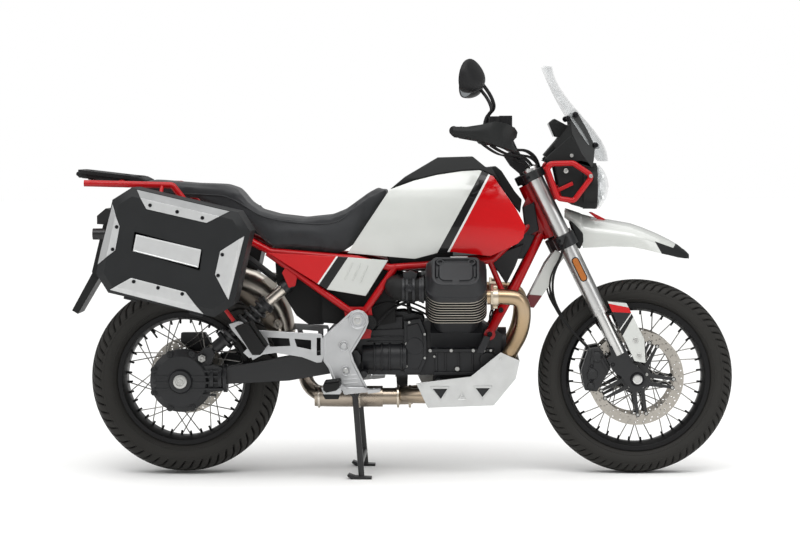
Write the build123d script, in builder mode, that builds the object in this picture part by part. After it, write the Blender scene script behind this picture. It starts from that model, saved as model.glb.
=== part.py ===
from build123d import *
import os
from math import asin, cos, radians, sin

# Adventure motorcycle with a transverse V-twin engine, shaft drive, wire wheels and two hard side cases.
#
# Every piece is its own solid, written to its own file. It stands upright on its centre stand.
# X runs forward, Y to the rider's left, Z up. The origin is on the ground, on the centre plane,
# halfway along the overall length. Sizes are millimetres.

os.makedirs("parts", exist_ok=True)

# ---------------------------------------------------------------- stance and running gear
WHEELBASE = 1530
FRONT_AXLE_X = 786
REAR_AXLE_X = FRONT_AXLE_X - WHEELBASE
STAND_LIFT = 6  # the rear tyre's height over the ground on the centre stand

FRONT_TYRE_R = 329
FRONT_TYRE_W = 110
FRONT_RIM_R = 243  # outside of the rim's barrel, where the bead seats
REAR_TYRE_R = 321
REAR_TYRE_W = 150
REAR_RIM_R = 218
FRONT_AXLE_Z = FRONT_TYRE_R
REAR_AXLE_Z = REAR_TYRE_R + STAND_LIFT

RAKE = 25.8  # fork angle from the vertical, degrees
AXLE_LEAD = 14  # front axle ahead of the fork legs
CLAMP_OFFSET = 28  # fork legs ahead of the steering axis
LEG_Y = 104  # fork legs from the centre plane
LEG_X = -AXLE_LEAD
STEM_X = -AXLE_LEAD - CLAMP_OFFSET

# ---------------------------------------------------------------- clearances
SEAT_GAP = 0.3  # between two pieces that lie against each other
PIN_GAP = 0.05  # radial, round a pin or shaft that turns
TUBE_GAP = 3.0  # round a frame tube that passes a body panel


def fork_point(x, y, z):
    """A point given along the fork: x ahead of the axle, z up the fork from the axle."""
    return STEER.from_local_coords((x, y, z))


STEER = Plane(
    origin=(FRONT_AXLE_X, 0, FRONT_AXLE_Z),
    x_dir=(cos(radians(RAKE)), 0, sin(radians(RAKE))),
    z_dir=(-sin(radians(RAKE)), 0, cos(radians(RAKE))),
)


def side_plane(y):
    """The side view's plane at a distance y from the centre: sketches on it use (x, z) as they are."""
    return Plane(origin=(0, y, 0), x_dir=(1, 0, 0), z_dir=(0, -1, 0))


def bar(points, radius, bend=0.0, mode=Mode.ADD):
    """Adds a round bar along straight runs joined by tangent arcs to the piece being built."""
    with BuildLine() as path:
        if len(points) > 2:
            FilletPolyline(*points, radius=bend)
        else:
            Line(*points)
    with BuildSketch(path.line ^ 0) as section:
        Circle(radius)
    sweep(sections=section.sketch, path=path.line, mode=mode)


def slab(points, y_from, y_to, mode=Mode.ADD):
    """Adds a plate whose side view is a polygon of (x, z) points, from y_from to y_to across."""
    with BuildSketch(side_plane(max(y_from, y_to))) as outline:
        with BuildLine():
            Polyline(*points, close=True)
        make_face()
    extrude(outline.sketch, amount=abs(y_to - y_from), mode=mode)


def cross_rod(x, z, y_from, y_to, radius, mode=Mode.ADD):
    """Adds a round bar that lies across the machine, from y_from to y_to."""
    with BuildSketch(side_plane(max(y_from, y_to))) as disc:
        with Locations((x, z)):
            Circle(radius)
    extrude(disc.sketch, amount=abs(y_to - y_from), mode=mode)


def by_rear_axle(points):
    """Side-view points given from the rear axle, so that they move with it."""
    return [(REAR_AXLE_X + x, REAR_AXLE_Z + z) for x, z in points]


def both_sides():
    """Adds the mirror image, across the centre plane, of the piece being built."""
    mirror(about=Plane.XZ)


def write(piece, name):
    """Labels a finished piece and writes it to its own file."""
    piece.part.label = name
    export_step(piece.part, f"parts/{name}.step")
    print(name, len(piece.part.solids()), round(piece.part.volume), piece.part.is_valid)


# ---------------------------------------------------------------- wheels
SPOKES_PER_SIDE = 18
SPOKE_R = 2.0
SPOKE_LEAN = 24  # degrees from the hub's hole to the rim's hole
AXLE_R = 12.5
HUB_R = 27
HUB_FLANGE_R = 46
HUB_FLANGE_T = 5
RIM_WALL = 19  # rim's depth, from the bead seat to its inner face
RIM_FLANGE = 8  # height of the rim's edge over the bead seat
RIM_EDGE_T = 6


def wheel_plane(axle_x, axle_z):
    """Sketch plane for a section that is revolved about an axle: x across the wheel, y outward."""
    return Plane(origin=(axle_x, 0, axle_z), x_dir=(0, 1, 0), z_dir=(1, 0, 0))


def wheel_axis(axle_x, axle_z):
    return Axis((axle_x, 0, axle_z), (0, 1, 0))


def tyre(axle_x, axle_z, rim_r, tyre_r, width, bead_half):
    """A tyre: a bead between the rim's edges, bulged side walls and a round crown."""
    half = width / 2
    shoulder_r = tyre_r - 0.24 * half
    bulge_r = rim_r + 0.5 * (tyre_r - rim_r)
    foot = bead_half - SEAT_GAP
    with BuildPart() as ring:
        with BuildSketch(wheel_plane(axle_x, axle_z)) as section:
            with BuildLine():
                Line((-foot, rim_r + SEAT_GAP), (foot, rim_r + SEAT_GAP))
                Line((foot, rim_r + SEAT_GAP), (foot, rim_r + RIM_FLANGE + 1))
                ThreePointArc(
                    (foot, rim_r + RIM_FLANGE + 1), (half, bulge_r), (0.86 * half, shoulder_r)
                )
                ThreePointArc(
                    (0.86 * half, shoulder_r), (0, tyre_r), (-0.86 * half, shoulder_r)
                )
                ThreePointArc(
                    (-0.86 * half, shoulder_r), (-half, bulge_r), (-foot, rim_r + RIM_FLANGE + 1)
                )
                Line((-foot, rim_r + RIM_FLANGE + 1), (-foot, rim_r + SEAT_GAP))
            make_face()
        revolve(axis=wheel_axis(axle_x, axle_z))
    return ring


def wire_wheel(axle_x, axle_z, rim_r, bead_half, hub_half, flange_y):
    """Rim, hub and crossed spokes, laced and so one piece. The hub is bored for its axle."""
    inner_r = rim_r - RIM_WALL
    edge = bead_half + RIM_EDGE_T
    spokes = []
    for side in (-1, 1):
        for i in range(SPOKES_PER_SIDE):
            hub_angle = radians(360 / SPOKES_PER_SIDE * (i + (0.25 if side > 0 else 0)))
            lean = radians(SPOKE_LEAN if i % 2 else -SPOKE_LEAN)
            hub_end = Vector(
                axle_x + (HUB_FLANGE_R - 4) * cos(hub_angle),
                side * flange_y,
                axle_z + (HUB_FLANGE_R - 4) * sin(hub_angle),
            )
            rim_end = Vector(
                axle_x + (inner_r + 4) * cos(hub_angle + lean),
                side * 0.25 * flange_y,
                axle_z + (inner_r + 4) * sin(hub_angle + lean),
            )
            spokes.append((hub_end, rim_end))
    length = (spokes[0][1] - spokes[0][0]).length
    with BuildPart() as wheel:
        with BuildSketch(wheel_plane(axle_x, axle_z)):
            with BuildLine():
                Polyline(
                    (-edge, rim_r + RIM_FLANGE),
                    (-bead_half, rim_r + RIM_FLANGE),
                    (-bead_half, rim_r),
                    (bead_half, rim_r),
                    (bead_half, rim_r + RIM_FLANGE),
                    (edge, rim_r + RIM_FLANGE),
                    (edge, rim_r - 0.4 * RIM_WALL),
                    (0.5 * edge, inner_r),
                    (-0.5 * edge, inner_r),
                    (-edge, rim_r - 0.4 * RIM_WALL),
                    close=True,
                )
            make_face()
        revolve(axis=wheel_axis(axle_x, axle_z))
        cross_rod(axle_x, axle_z, -hub_half, hub_half, HUB_R)
        for side in (-1, 1):
            y = side * flange_y
            cross_rod(axle_x, axle_z, y - HUB_FLANGE_T / 2, y + HUB_FLANGE_T / 2, HUB_FLANGE_R)
        with Locations(*[Plane(origin=a, z_dir=b - a) for a, b in spokes]):
            Cylinder(SPOKE_R, length, align=(Align.CENTER, Align.CENTER, Align.MIN))
        cross_rod(axle_x, axle_z, -hub_half, hub_half, AXLE_R + PIN_GAP, mode=Mode.SUBTRACT)
    return wheel


FRONT_BEAD_HALF = 37
FRONT_HUB_HALF = 60
FRONT_FLANGE_Y = 34
REAR_BEAD_HALF = 53
REAR_HUB_HALF = 80
REAR_FLANGE_Y = 40

front_tyre = tyre(
    FRONT_AXLE_X, FRONT_AXLE_Z, FRONT_RIM_R, FRONT_TYRE_R, FRONT_TYRE_W, FRONT_BEAD_HALF
)
write(front_tyre, "front_tyre")
rear_tyre = tyre(REAR_AXLE_X, REAR_AXLE_Z, REAR_RIM_R, REAR_TYRE_R, REAR_TYRE_W, REAR_BEAD_HALF)
write(rear_tyre, "rear_tyre")
front_wheel = wire_wheel(
    FRONT_AXLE_X, FRONT_AXLE_Z, FRONT_RIM_R, FRONT_BEAD_HALF, FRONT_HUB_HALF, FRONT_FLANGE_Y
)
write(front_wheel, "front_wheel")
rear_wheel = wire_wheel(
    REAR_AXLE_X, REAR_AXLE_Z, REAR_RIM_R, REAR_BEAD_HALF, REAR_HUB_HALF, REAR_FLANGE_Y
)
write(rear_wheel, "rear_wheel")

# Brake discs: a steel ring on a five-armed carrier that bolts to the hub's end.
DISC_T = 4.5
FRONT_DISC_R = 160
FRONT_DISC_RING = 34
FRONT_DISC_Y = 66
REAR_DISC_R = 130
REAR_DISC_RING = 34
REAR_DISC_Y = 64
CARRIER_ARMS = 5
DISC_CARRIER_R = 50
CARRIER_ARM_W = 20


def brake_disc(axle_x, axle_z, y, outer_r, ring):
    """Adds one disc, centred on y across the machine, clear of the hub inside its carrier."""
    low, high = y - DISC_T / 2, y + DISC_T / 2
    cross_rod(axle_x, axle_z, low, high, outer_r)
    cross_rod(axle_x, axle_z, low, high, outer_r - ring, mode=Mode.SUBTRACT)
    cross_rod(axle_x, axle_z, low, high, DISC_CARRIER_R)
    arm = outer_r - ring + 4
    with BuildSketch(side_plane(high)) as arms:
        with Locations((axle_x, axle_z)):
            with PolarLocations(arm / 2, CARRIER_ARMS):
                Rectangle(arm, CARRIER_ARM_W)
    extrude(arms.sketch, amount=DISC_T)


with BuildPart() as right_disc:
    brake_disc(FRONT_AXLE_X, FRONT_AXLE_Z, -FRONT_DISC_Y, FRONT_DISC_R, FRONT_DISC_RING)
    cross_rod(
        FRONT_AXLE_X, FRONT_AXLE_Z, -FRONT_HUB_HALF - SEAT_GAP, -FRONT_DISC_Y, HUB_R
    )
    cross_rod(
        FRONT_AXLE_X, FRONT_AXLE_Z, -90, -50, AXLE_R + PIN_GAP, mode=Mode.SUBTRACT
    )
with BuildPart() as front_discs:
    add(right_disc.part)
    both_sides()
write(front_discs, "front_discs")

with BuildPart() as rear_disc:
    brake_disc(REAR_AXLE_X, REAR_AXLE_Z, REAR_DISC_Y, REAR_DISC_R, REAR_DISC_RING)
    cross_rod(
        REAR_AXLE_X,
        REAR_AXLE_Z,
        REAR_DISC_Y - DISC_T,
        REAR_DISC_Y + DISC_T,
        HUB_R + SEAT_GAP,
        mode=Mode.SUBTRACT,
    )
write(rear_disc, "rear_disc")

# ---------------------------------------------------------------- steering: forks, clamps, bar, front mudguard
FORK_TUBE_R = 27
FORK_TUBE_FROM = 254  # heights up the fork, measured from the axle
FORK_TUBE_TO = 790
STANCHION_R = 22
STANCHION_TO = 320
LOW_CLAMP = (500, 545)
TOP_CLAMP = (752, 782)
HEAD_TUBE = (551, 746)
HEAD_TUBE_R = 34
CLAMP_EYE_R = 38
STEM_R = 20
BAR_CLAMP_Z = 845
BAR_CLAMP_X = -37
RISER_Y = 40
RISER_R = 16
FRONT_AXLE_BORE_R = 9  # hollow axle
BAR_R = 13
BAR_BEND = 45
BAR_POINTS = [
    (185, -440, 1158),
    (358, -215, 1126),
    (385, -85, 1074),
    (385, 85, 1074),
    (358, 215, 1126),
    (185, 440, 1158),
]


def fork_side_plane(y):
    """Side view in the fork's own frame: sketches on it use (x ahead, z up the fork)."""
    return Plane(origin=STEER.from_local_coords((0, y, 0)), x_dir=STEER.x_dir, z_dir=(0, -1, 0))


def fork_slab(points, y_from, y_to, mode=Mode.ADD):
    """Adds a plate whose outline is a polygon in the fork's own side view."""
    with BuildSketch(fork_side_plane(max(y_from, y_to))) as outline:
        with BuildLine():
            Polyline(*points, close=True)
        make_face()
    extrude(outline.sketch, amount=abs(y_to - y_from), mode=mode)


def fork_tube(x, y, z_from, z_to, radius, mode=Mode.ADD):
    """Adds a round bar that runs up the fork at (x, y) of a section square to it."""
    with BuildSketch(STEER.offset(z_from)) as disc:
        with Locations((x, y)):
            Circle(radius)
    extrude(disc.sketch, amount=z_to - z_from, mode=mode)


with BuildPart() as fork_tubes:
    fork_tube(LEG_X, -LEG_Y, FORK_TUBE_FROM, FORK_TUBE_TO, FORK_TUBE_R)
    fork_tube(
        LEG_X, -LEG_Y, FORK_TUBE_FROM, STANCHION_TO + 1, STANCHION_R + SEAT_GAP, mode=Mode.SUBTRACT
    )
    both_sides()
write(fork_tubes, "fork_tubes")

# Axle clamps at the foot of each leg, with the caliper's lug behind and the guard's bracket ahead.
with BuildPart() as right_leg:
    fork_tube(LEG_X, -LEG_Y, 100, STANCHION_TO, STANCHION_R)
    fork_slab(
        [(-36, -18), (-12, -36), (14, -32), (30, -10), (26, 20), (10, 60), (8, 138), (-38, 138),
         (-44, 110), (-62, 106), (-62, 62), (-44, 30)],
        -LEG_Y - 17, -LEG_Y + 17,
    )
    fork_slab([(8, 58), (40, 64), (40, 76), (8, 74)], -125.6, -100)
with BuildPart() as fork_legs:
    add(right_leg.part)
    both_sides()
    cross_rod(FRONT_AXLE_X, FRONT_AXLE_Z, -124, 124, AXLE_R)
    cross_rod(FRONT_AXLE_X, FRONT_AXLE_Z, -125, 125, FRONT_AXLE_BORE_R, mode=Mode.SUBTRACT)
write(fork_legs, "fork_legs")

with BuildPart() as fork_clamps:
    for low, high in (LOW_CLAMP, TOP_CLAMP):
        with BuildSketch(STEER.offset(low)):
            with Locations((LEG_X, -LEG_Y), (LEG_X, LEG_Y)):
                Circle(CLAMP_EYE_R)
            with Locations((STEM_X, 0)):
                Circle(HEAD_TUBE_R)
            with BuildLine():
                Polyline(
                    (LEG_X + 20, -LEG_Y),
                    (LEG_X + 4, 0),
                    (LEG_X + 20, LEG_Y),
                    (STEM_X - 26, LEG_Y - 62),
                    (STEM_X - 26, -LEG_Y + 62),
                    close=True,
                )
            make_face()
        extrude(amount=high - low)
    fork_tube(STEM_X, 0, LOW_CLAMP[0], TOP_CLAMP[1], STEM_R)
    for y in (-LEG_Y, LEG_Y):
        fork_tube(
            LEG_X, y, LOW_CLAMP[0], TOP_CLAMP[1], FORK_TUBE_R + SEAT_GAP, mode=Mode.SUBTRACT
        )
write(fork_clamps, "fork_clamps")

with BuildPart() as handlebar:
    bar(BAR_POINTS, BAR_R, BAR_BEND)
    for y in (-RISER_Y, RISER_Y):
        fork_tube(BAR_CLAMP_X, y, TOP_CLAMP[1] + SEAT_GAP, BAR_CLAMP_Z + 18, RISER_R)
write(handlebar, "handlebar")

# Grips, levers, switches and a fluid cup on each end of the bar.
GRIP_R = 17
GRIP_LENGTH = 125
GRIP_FROM = 14  # from the bar's end
LEVER_R = 6
CUP_R = 20


def bar_end(side):
    """The bar's end and the unit direction from it inward along the grip, for side -1 or +1."""
    end = Vector(185, side * 440, 1158)
    inner = Vector(358, side * 215, 1126)
    return end, (inner - end).normalized()


with BuildPart() as right_control:
    end, inward = bar_end(-1)
    grip = Plane(origin=end + inward * GRIP_FROM, z_dir=inward)
    with Locations(grip):
        Cylinder(GRIP_R, GRIP_LENGTH, align=(Align.CENTER, Align.CENTER, Align.MIN))
    switch = Plane(origin=end + inward * (GRIP_FROM + GRIP_LENGTH), z_dir=inward)
    with Locations(switch):
        Cylinder(24, 46, align=(Align.CENTER, Align.CENTER, Align.MIN))
    pivot = end + inward * (GRIP_FROM + GRIP_LENGTH + 30)
    ahead = Vector(inward.Y, -inward.X, 0).normalized()
    reach = pivot + ahead * 46
    bar([pivot, reach, reach - inward * 150], LEVER_R, 12)
    cup = pivot + ahead * 26 + Vector(0, 0, 34)
    bar([pivot, cup], 12)
    with BuildSketch(Plane(origin=cup - Vector(0, 0, 8), z_dir=(0, 0, 1))) as cup_section:
        Circle(CUP_R)
    extrude(cup_section.sketch, amount=42)
    with Locations(grip):
        Cylinder(
            BAR_R + SEAT_GAP, 400, align=(Align.CENTER, Align.CENTER, Align.CENTER), mode=Mode.SUBTRACT
        )
with BuildPart() as bar_controls:
    add(right_control.part)
    both_sides()
write(bar_controls, "bar_controls")

# Hand guards: a plate bent round each grip, bolted to the bar's end.
GUARD_T = 6
with BuildPart() as right_hand_guard:
    with BuildSketch(Plane.XY.offset(1095)) as plan:
        with BuildLine() as guard_line:
            FilletPolyline((176, -458), (300, -470), (415, -350), (432, -240), radius=50)
        trace(guard_line.line, line_width=GUARD_T)
    extrude(plan.sketch, amount=100)
    slab(
        [(150, 1145), (240, 1128), (330, 1100), (385, 1102), (450, 1125), (450, 1150), (380, 1188),
         (310, 1193), (240, 1172), (150, 1172)],
        -600, -100, mode=Mode.INTERSECT,
    )
    with Locations(Plane(origin=end - inward * SEAT_GAP, z_dir=-inward)):
        Cylinder(18, 16, align=(Align.CENTER, Align.CENTER, Align.MIN))
with BuildPart() as hand_guards:
    add(right_hand_guard.part)
    both_sides()
write(hand_guards, "hand_guards")

# Mirrors: an oval pod on a cranked stalk that stands on the lever clamp.
with BuildPart() as right_mirror:
    foot = pivot + Vector(-10, 10, 24.3)
    bar([foot, foot + Vector(8, 0, 50), (285, -330, 1285), (262, -385, 1318)], 6, 14)
    pod = Plane(origin=(244, -392, 1338), x_dir=(0.56, 0.82, -0.2), z_dir=(0.79, -0.5, 0.35))
    with BuildSketch(pod.offset(-12)) as face:
        Ellipse(78, 50)
    extrude(face.sketch, amount=14)
    with BuildSketch(pod.offset(2)) as back:
        Ellipse(78, 50)
    extrude(back.sketch, amount=26, taper=38)
with BuildPart() as mirrors:
    add(right_mirror.part)
    both_sides()
write(mirrors, "mirrors")

# High front mudguard with a beak, on the lower clamp, and the flap behind the tyre.
FENDER_T = 5
FENDER_SECTIONS = [  # x, crown height, edge height, half width
    (584, 881, 770, 72),
    (650, 871, 771, 92),
    (770, 848, 771, 94),
    (860, 815, 750, 78),
    (930, 779, 732, 46),
    (968, 744, 727, 14),
]


def arch(plane, crown, edge, half, thickness):
    """A thin arched band: sketch x is across, sketch y is up; the ends of the band lie at edge."""
    with BuildSketch(plane) as band:
        with BuildLine():
            ThreePointArc((-half, edge), (0, crown), (half, edge))
            Line((half, edge), (half - thickness, edge))
            ThreePointArc((half - thickness, edge), (0, crown - thickness), (thickness - half, edge))
            Line((thickness - half, edge), (-half, edge))
        make_face()
    return band.sketch


def cross_plane(x):
    """A section square to the machine: sketch x is its left, sketch y is up."""
    return Plane(origin=(x, 0, 0), x_dir=(0, 1, 0), z_dir=(1, 0, 0))


with BuildPart() as front_fender:
    loft(
        [arch(cross_plane(x), crown, edge, half, FENDER_T) for x, crown, edge, half in FENDER_SECTIONS]
    )
    fork_slab([(-26, 489), (74, 489), (74, 499.7), (-26, 499.7)], -40, 40)
    slab([(612, 790), (680, 796), (690, 862), (616, 874)], -6, 6)
write(front_fender, "front_fender")

# The flap behind the tyre, hung from the lower clamp's underside.
FLAP_HALF = 58
FLAP_T = 5
with BuildPart() as front_flap:
    fork_slab([(-62, 474), (-62, 499.7), (-30, 499.7), (-30, 474), (-50, 440)], -40, 40)
    slab(
        [(560, 750), (512, 742), (458, 680), (412, 565), (418, 562), (463, 676), (516, 737), (562, 745)],
        -FLAP_HALF, FLAP_HALF,
    )
write(front_flap, "front_flap")

# Plastic shields ahead of each leg's foot: a side wall and a front wall, open to the rear.
SHIELD_T = 4
SHIELD_OUTLINE = [(18, 60), (19, 178), (24, 279), (78, 246), (79, 112), (48, 38)]
with BuildPart() as right_shield:
    fork_slab(SHIELD_OUTLINE, -130, -86)
    fork_slab([(-20, 20), (46 - SHIELD_T, 20), (79 - SHIELD_T, 114), (78 - SHIELD_T, 243), (22, 274.5),
               (-20, 290)], -130 + SHIELD_T, -80, mode=Mode.SUBTRACT)
with BuildPart() as fork_guards:
    add(right_shield.part)
    both_sides()
write(fork_guards, "fork_guards")

# Front calipers: a block over the disc's edge behind each leg.
CALIPER_GAP = 5  # each side of the disc
with BuildPart() as right_caliper:
    fork_slab([(-62.3, 106), (-66, 148), (-104, 158), (-156, 104), (-174, 40), (-140, 18), (-100, 44),
               (-62.3, 70)], -96, -46)
    cross_rod(FRONT_AXLE_X, FRONT_AXLE_Z, -FRONT_DISC_Y - DISC_T / 2 - CALIPER_GAP,
              -FRONT_DISC_Y + DISC_T / 2 + CALIPER_GAP, FRONT_DISC_R + CALIPER_GAP, mode=Mode.SUBTRACT)
with BuildPart() as calipers:
    add(right_caliper.part)
    both_sides()
write(calipers, "calipers")

# ---------------------------------------------------------------- engine, gearbox and their pipes
CRANK_X = 180
CRANK_Z = 430
CASE_HALF = 84
GEARBOX_HALF = 92
SUMP_HALF = 68
BARREL_FROM = 143  # distances out along a cylinder, from the crank's centre
FINS_FROM = 218
HEAD_FROM = 321
COVER_TO = 385
FIN_W = 204
FIN_H = 168
FIN_T = 4
FIN_COUNT = 9


def cylinder_plane(side, distance):
    """A section square to a cylinder: sketch x runs forward, sketch y in toward the centre and up."""
    lean = sin(radians(45))
    return Plane(
        origin=(CRANK_X, side * lean * distance, CRANK_Z + lean * distance),
        x_dir=(1, 0, 0),
        z_dir=(0, side * lean, lean),
    )


with BuildPart() as engine_block:
    slab([(12, 341), (300, 341), (330, 420), (334, 476), (262, 521), (12, 521)], -CASE_HALF, CASE_HALF)
    slab([(-186, 372), (-150, 345), (12, 341), (12, 497), (-150, 490), (-186, 450)],
         -GEARBOX_HALF, GEARBOX_HALF)
    slab([(100, 248), (270, 248), (300, 341), (100, 341)], -SUMP_HALF, SUMP_HALF)
    for side in (-1, 1):
        with BuildSketch(cylinder_plane(side, 30)) as base:
            Rectangle(172, 124)
        extrude(base.sketch, amount=BARREL_FROM - SEAT_GAP - 30)
    with BuildSketch(cross_plane(320)) as alternator:
        with Locations((0, 438)):
            Circle(58)
    extrude(alternator.sketch, amount=29)
    for x, z, half in ((-128, 352, 184.7), (-130, 482, 127.7), (120, 322, 141.7), (246, 330, 141.7)):
        cross_rod(x, z, -half, half, 11)
    cross_rod(292, 480, -85.7, 85.7, 16)
write(engine_block, "engine_block")

with BuildPart() as right_cylinder:
    with BuildSketch(cylinder_plane(-1, BARREL_FROM)) as barrel:
        RectangleRounded(150, 124, 30)
    extrude(barrel.sketch, amount=HEAD_FROM - SEAT_GAP - BARREL_FROM)
    pitch = (HEAD_FROM - SEAT_GAP - FIN_T - FINS_FROM) / (FIN_COUNT - 1)
    for i in range(FIN_COUNT):
        with BuildSketch(cylinder_plane(-1, FINS_FROM + i * pitch)) as fin:
            RectangleRounded(FIN_W, FIN_H, 14)
        extrude(fin.sketch, amount=FIN_T)
with BuildPart() as cylinders:
    add(right_cylinder.part)
    both_sides()
write(cylinders, "cylinders")

with BuildPart() as right_cover:
    with BuildSketch(cylinder_plane(-1, HEAD_FROM)) as foot:
        Rectangle(FIN_W - 4, FIN_H)
        chamfer(foot.vertices(), 30)
    extrude(foot.sketch, amount=26)
    with BuildSketch(cylinder_plane(-1, HEAD_FROM + 26)) as lid:
        Rectangle(FIN_W - 22, FIN_H - 14)
        chamfer(lid.vertices(), 30)
    extrude(lid.sketch, amount=COVER_TO - HEAD_FROM - 26, taper=16)
with BuildPart() as rocker_covers:
    add(right_cover.part)
    both_sides()
write(rocker_covers, "rocker_covers")

# Throttle bodies behind the cylinders.
with BuildPart() as right_intake:
    bar([(CRANK_X - FIN_W / 2 - SEAT_GAP, -204, 636), (-14, -204, 636)], 42)
    bar([(0, -204, 636), (-30, -204, 638), (-78, -188, 664)], 32, 10)
with BuildPart() as intakes:
    add(right_intake.part)
    both_sides()
write(intakes, "intakes")

# Exhaust: a header from each cylinder's front, a collector under the gearbox, an elbow up to the left.
HEADER_R = 25
COLLECTOR_R = 36
HEADER = [
    (CRANK_X + FIN_W / 2 + SEAT_GAP, 214, 612),
    (392, 214, 612),
    (396, 190, 520),
    (352, 104, 405),
    (322, 104, 322),
    (270, 104, 276),
]
SILENCER_START = Vector(-430, 164, 480)
SILENCER_END = Vector(-740, 164, 742)
SILENCER_R = 50
SILENCER_ENTRY = SILENCER_START + (SILENCER_START - SILENCER_END).normalized() * 48


def header(side):
    return [(x, side * y, z) for x, y, z in HEADER]


with BuildPart() as exhaust_pipes:
    bar(header(-1) + [(70, -104, 272), (0, -52, 268)], HEADER_R, 34)
    bar(header(1) + [(86, 104, 272), (-20, -20, 268)], HEADER_R, 34)
    bar([(20, -40, 264), (-300, -40, 264)], COLLECTOR_R)
    bar([(-262, -40, 264), (-318, 0, 282), (-348, 120, 350), SILENCER_ENTRY, SILENCER_START], 25, 22)
write(exhaust_pipes, "exhaust_pipes")

silencer_axis = Plane(origin=SILENCER_START, z_dir=SILENCER_END - SILENCER_START)
silencer_length = (SILENCER_END - SILENCER_START).length
with BuildPart() as silencer:
    with BuildSketch(Plane(origin=SILENCER_START, x_dir=silencer_axis.z_dir, z_dir=silencer_axis.x_dir)):
        with BuildLine():
            Polyline(
                (SEAT_GAP, 0), (SEAT_GAP, 30), (70, SILENCER_R), (silencer_length - 30, SILENCER_R),
                (silencer_length, 36), (silencer_length, 20), (silencer_length - 60, 20),
                (silencer_length - 60, 0), close=True,
            )
        make_face()
    revolve(axis=Axis(SILENCER_START, silencer_axis.z_dir))
write(silencer, "silencer")

# Skid plate: a trough of bent sheet with a lightening hole in each side.
SKID_HALF = 146
SKID_T = 4
with BuildPart() as skid_plate:
    slab([(45, 319), (84, 236), (305, 244), (378, 333), (392, 394), (328, 422), (228, 341)],
         -SKID_HALF, SKID_HALF)
    slab([(20, 240), (302.5, 248.5), (374, 335.5), (387.6, 394), (400, 500), (20, 500)],
         -SKID_HALF + SKID_T, SKID_HALF - SKID_T, mode=Mode.SUBTRACT)
    for hole in ([(101, 300), (150, 300), (128, 266)], [(245, 302), (292, 302), (267, 272)]):
        slab(hole, -SKID_HALF, SKID_HALF, mode=Mode.SUBTRACT)
write(skid_plate, "skid_plate")

# ---------------------------------------------------------------- frame, peg plates and stands
RAIL_R = 12
PIVOT_X = -160
PIVOT_Z = 400
STAND_Z = 290  # centre stand's hinge
STAND_Y = 152
PIN_R = 8
SHOCK_FOOT = (REAR_AXLE_X + 94, REAR_AXLE_Z + 93)  # x, z of its eyes
SHOCK_TOP = (-374, 656)
SHOCK_Y = 118
PLATE_Y = (185, 197)  # aluminium peg plates, inner and outer face
ARM_Y = (218, 230)  # passenger peg arms

with BuildPart() as right_frame:
    bar(
        [(446, -24, 862), (300, -96, 728), (119, -130, 718), (-40, -132, 706), (-150, -132, 735),
         (-442, -128, 761), (-640, -100, 865), (-870, -92, 932)],
        RAIL_R, 40,
    )
    bar([(-20, -132, 712), (-140, -134, 540)], RAIL_R)
    bar([(-452, -128, 758), (-170, -134, 556)], RAIL_R)
    bar([(466, -24, 812), (380, -72, 640), (294, -104, 488)], 15, 60)
    bar([(292, -98, 726), (350, -82, 586)], 9)
    cross_rod(292, 480, -116, -86.2, 19)
    slab([(-196, 575), (-104, 575), (-98, 520), (-108, 470), (-150, 466), (-186, 500)], -140, -128)
    cross_rod(-146, 535, -184.7, -134, 16)
    slab([(406, 905), (426, 950), (470, 852), (476, 800), (440, 800)], -28, -12)
with BuildPart() as frame:
    fork_tube(STEM_X, 0, HEAD_TUBE[0], HEAD_TUBE[1], HEAD_TUBE_R)
    add(right_frame.part)
    both_sides()
    for x, z, half in ((-30, 706, 130), (-442, 762, 128), (-640, 865, 100), (-866, 931, 92)):
        cross_rod(x, z, -half, half, 9)
    slab([(462, 905), (599.7, 966), (599.7, 1008), (445, 945)], -16, 16)
    slab([(-392, 706), (-352, 676), (-358, 646), (-380, 640), (-402, 690)], -140, -131)
    cross_rod(SHOCK_TOP[0], SHOCK_TOP[1], -138, -104, 7)
    fork_tube(STEM_X, 0, HEAD_TUBE[0] - 5, HEAD_TUBE[1] + 5, STEM_R + PIN_GAP, mode=Mode.SUBTRACT)
write(frame, "frame")

# Peg plates carry the rider's pegs, the centre stand's pins and an arm for the passenger's peg.
with BuildPart() as right_plate:
    slab([(-178, 565), (-113, 562), (-106, 522), (-138, 470), (-112, 420), (-117, 330), (-112, 305),
          (-140, 270), (-182, 270), (-208, 284), (-243, 339), (-270, 416), (-258, 483)],
         -PLATE_Y[1], -PLATE_Y[0])
    for x, z in ((-193, 449), (-190, 372)):
        cross_rod(x, z, -PLATE_Y[1] - 1, -PLATE_Y[0] + 1, 11, mode=Mode.SUBTRACT)
    cross_rod(PIVOT_X, STAND_Z, -PLATE_Y[0], -STAND_Y + 12, PIN_R)
    cross_rod(PIVOT_X, STAND_Z, -PLATE_Y[0], -STAND_Y - 13, 13)
    cross_rod(PIVOT_X, STAND_Z, -STAND_Y + 10, -STAND_Y + 14, 13)
    cross_rod(-238, 452, -ARM_Y[0], -PLATE_Y[1], 22)
    slab([(-569, 540), (-543, 553), (-493, 532), (-433, 527), (-297, 516), (-218, 484), (-218, 436),
          (-262, 418), (-370, 430), (-450, 423), (-500, 430), (-556, 490)], -ARM_Y[1], -ARM_Y[0])
    slab([(-375, 504), (-321, 499), (-319, 481), (-331, 477), (-367, 487)], -ARM_Y[1], -ARM_Y[0],
         mode=Mode.SUBTRACT)
with BuildPart() as peg_plates:
    add(right_plate.part)
    both_sides()
write(peg_plates, "peg_plates")

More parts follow.
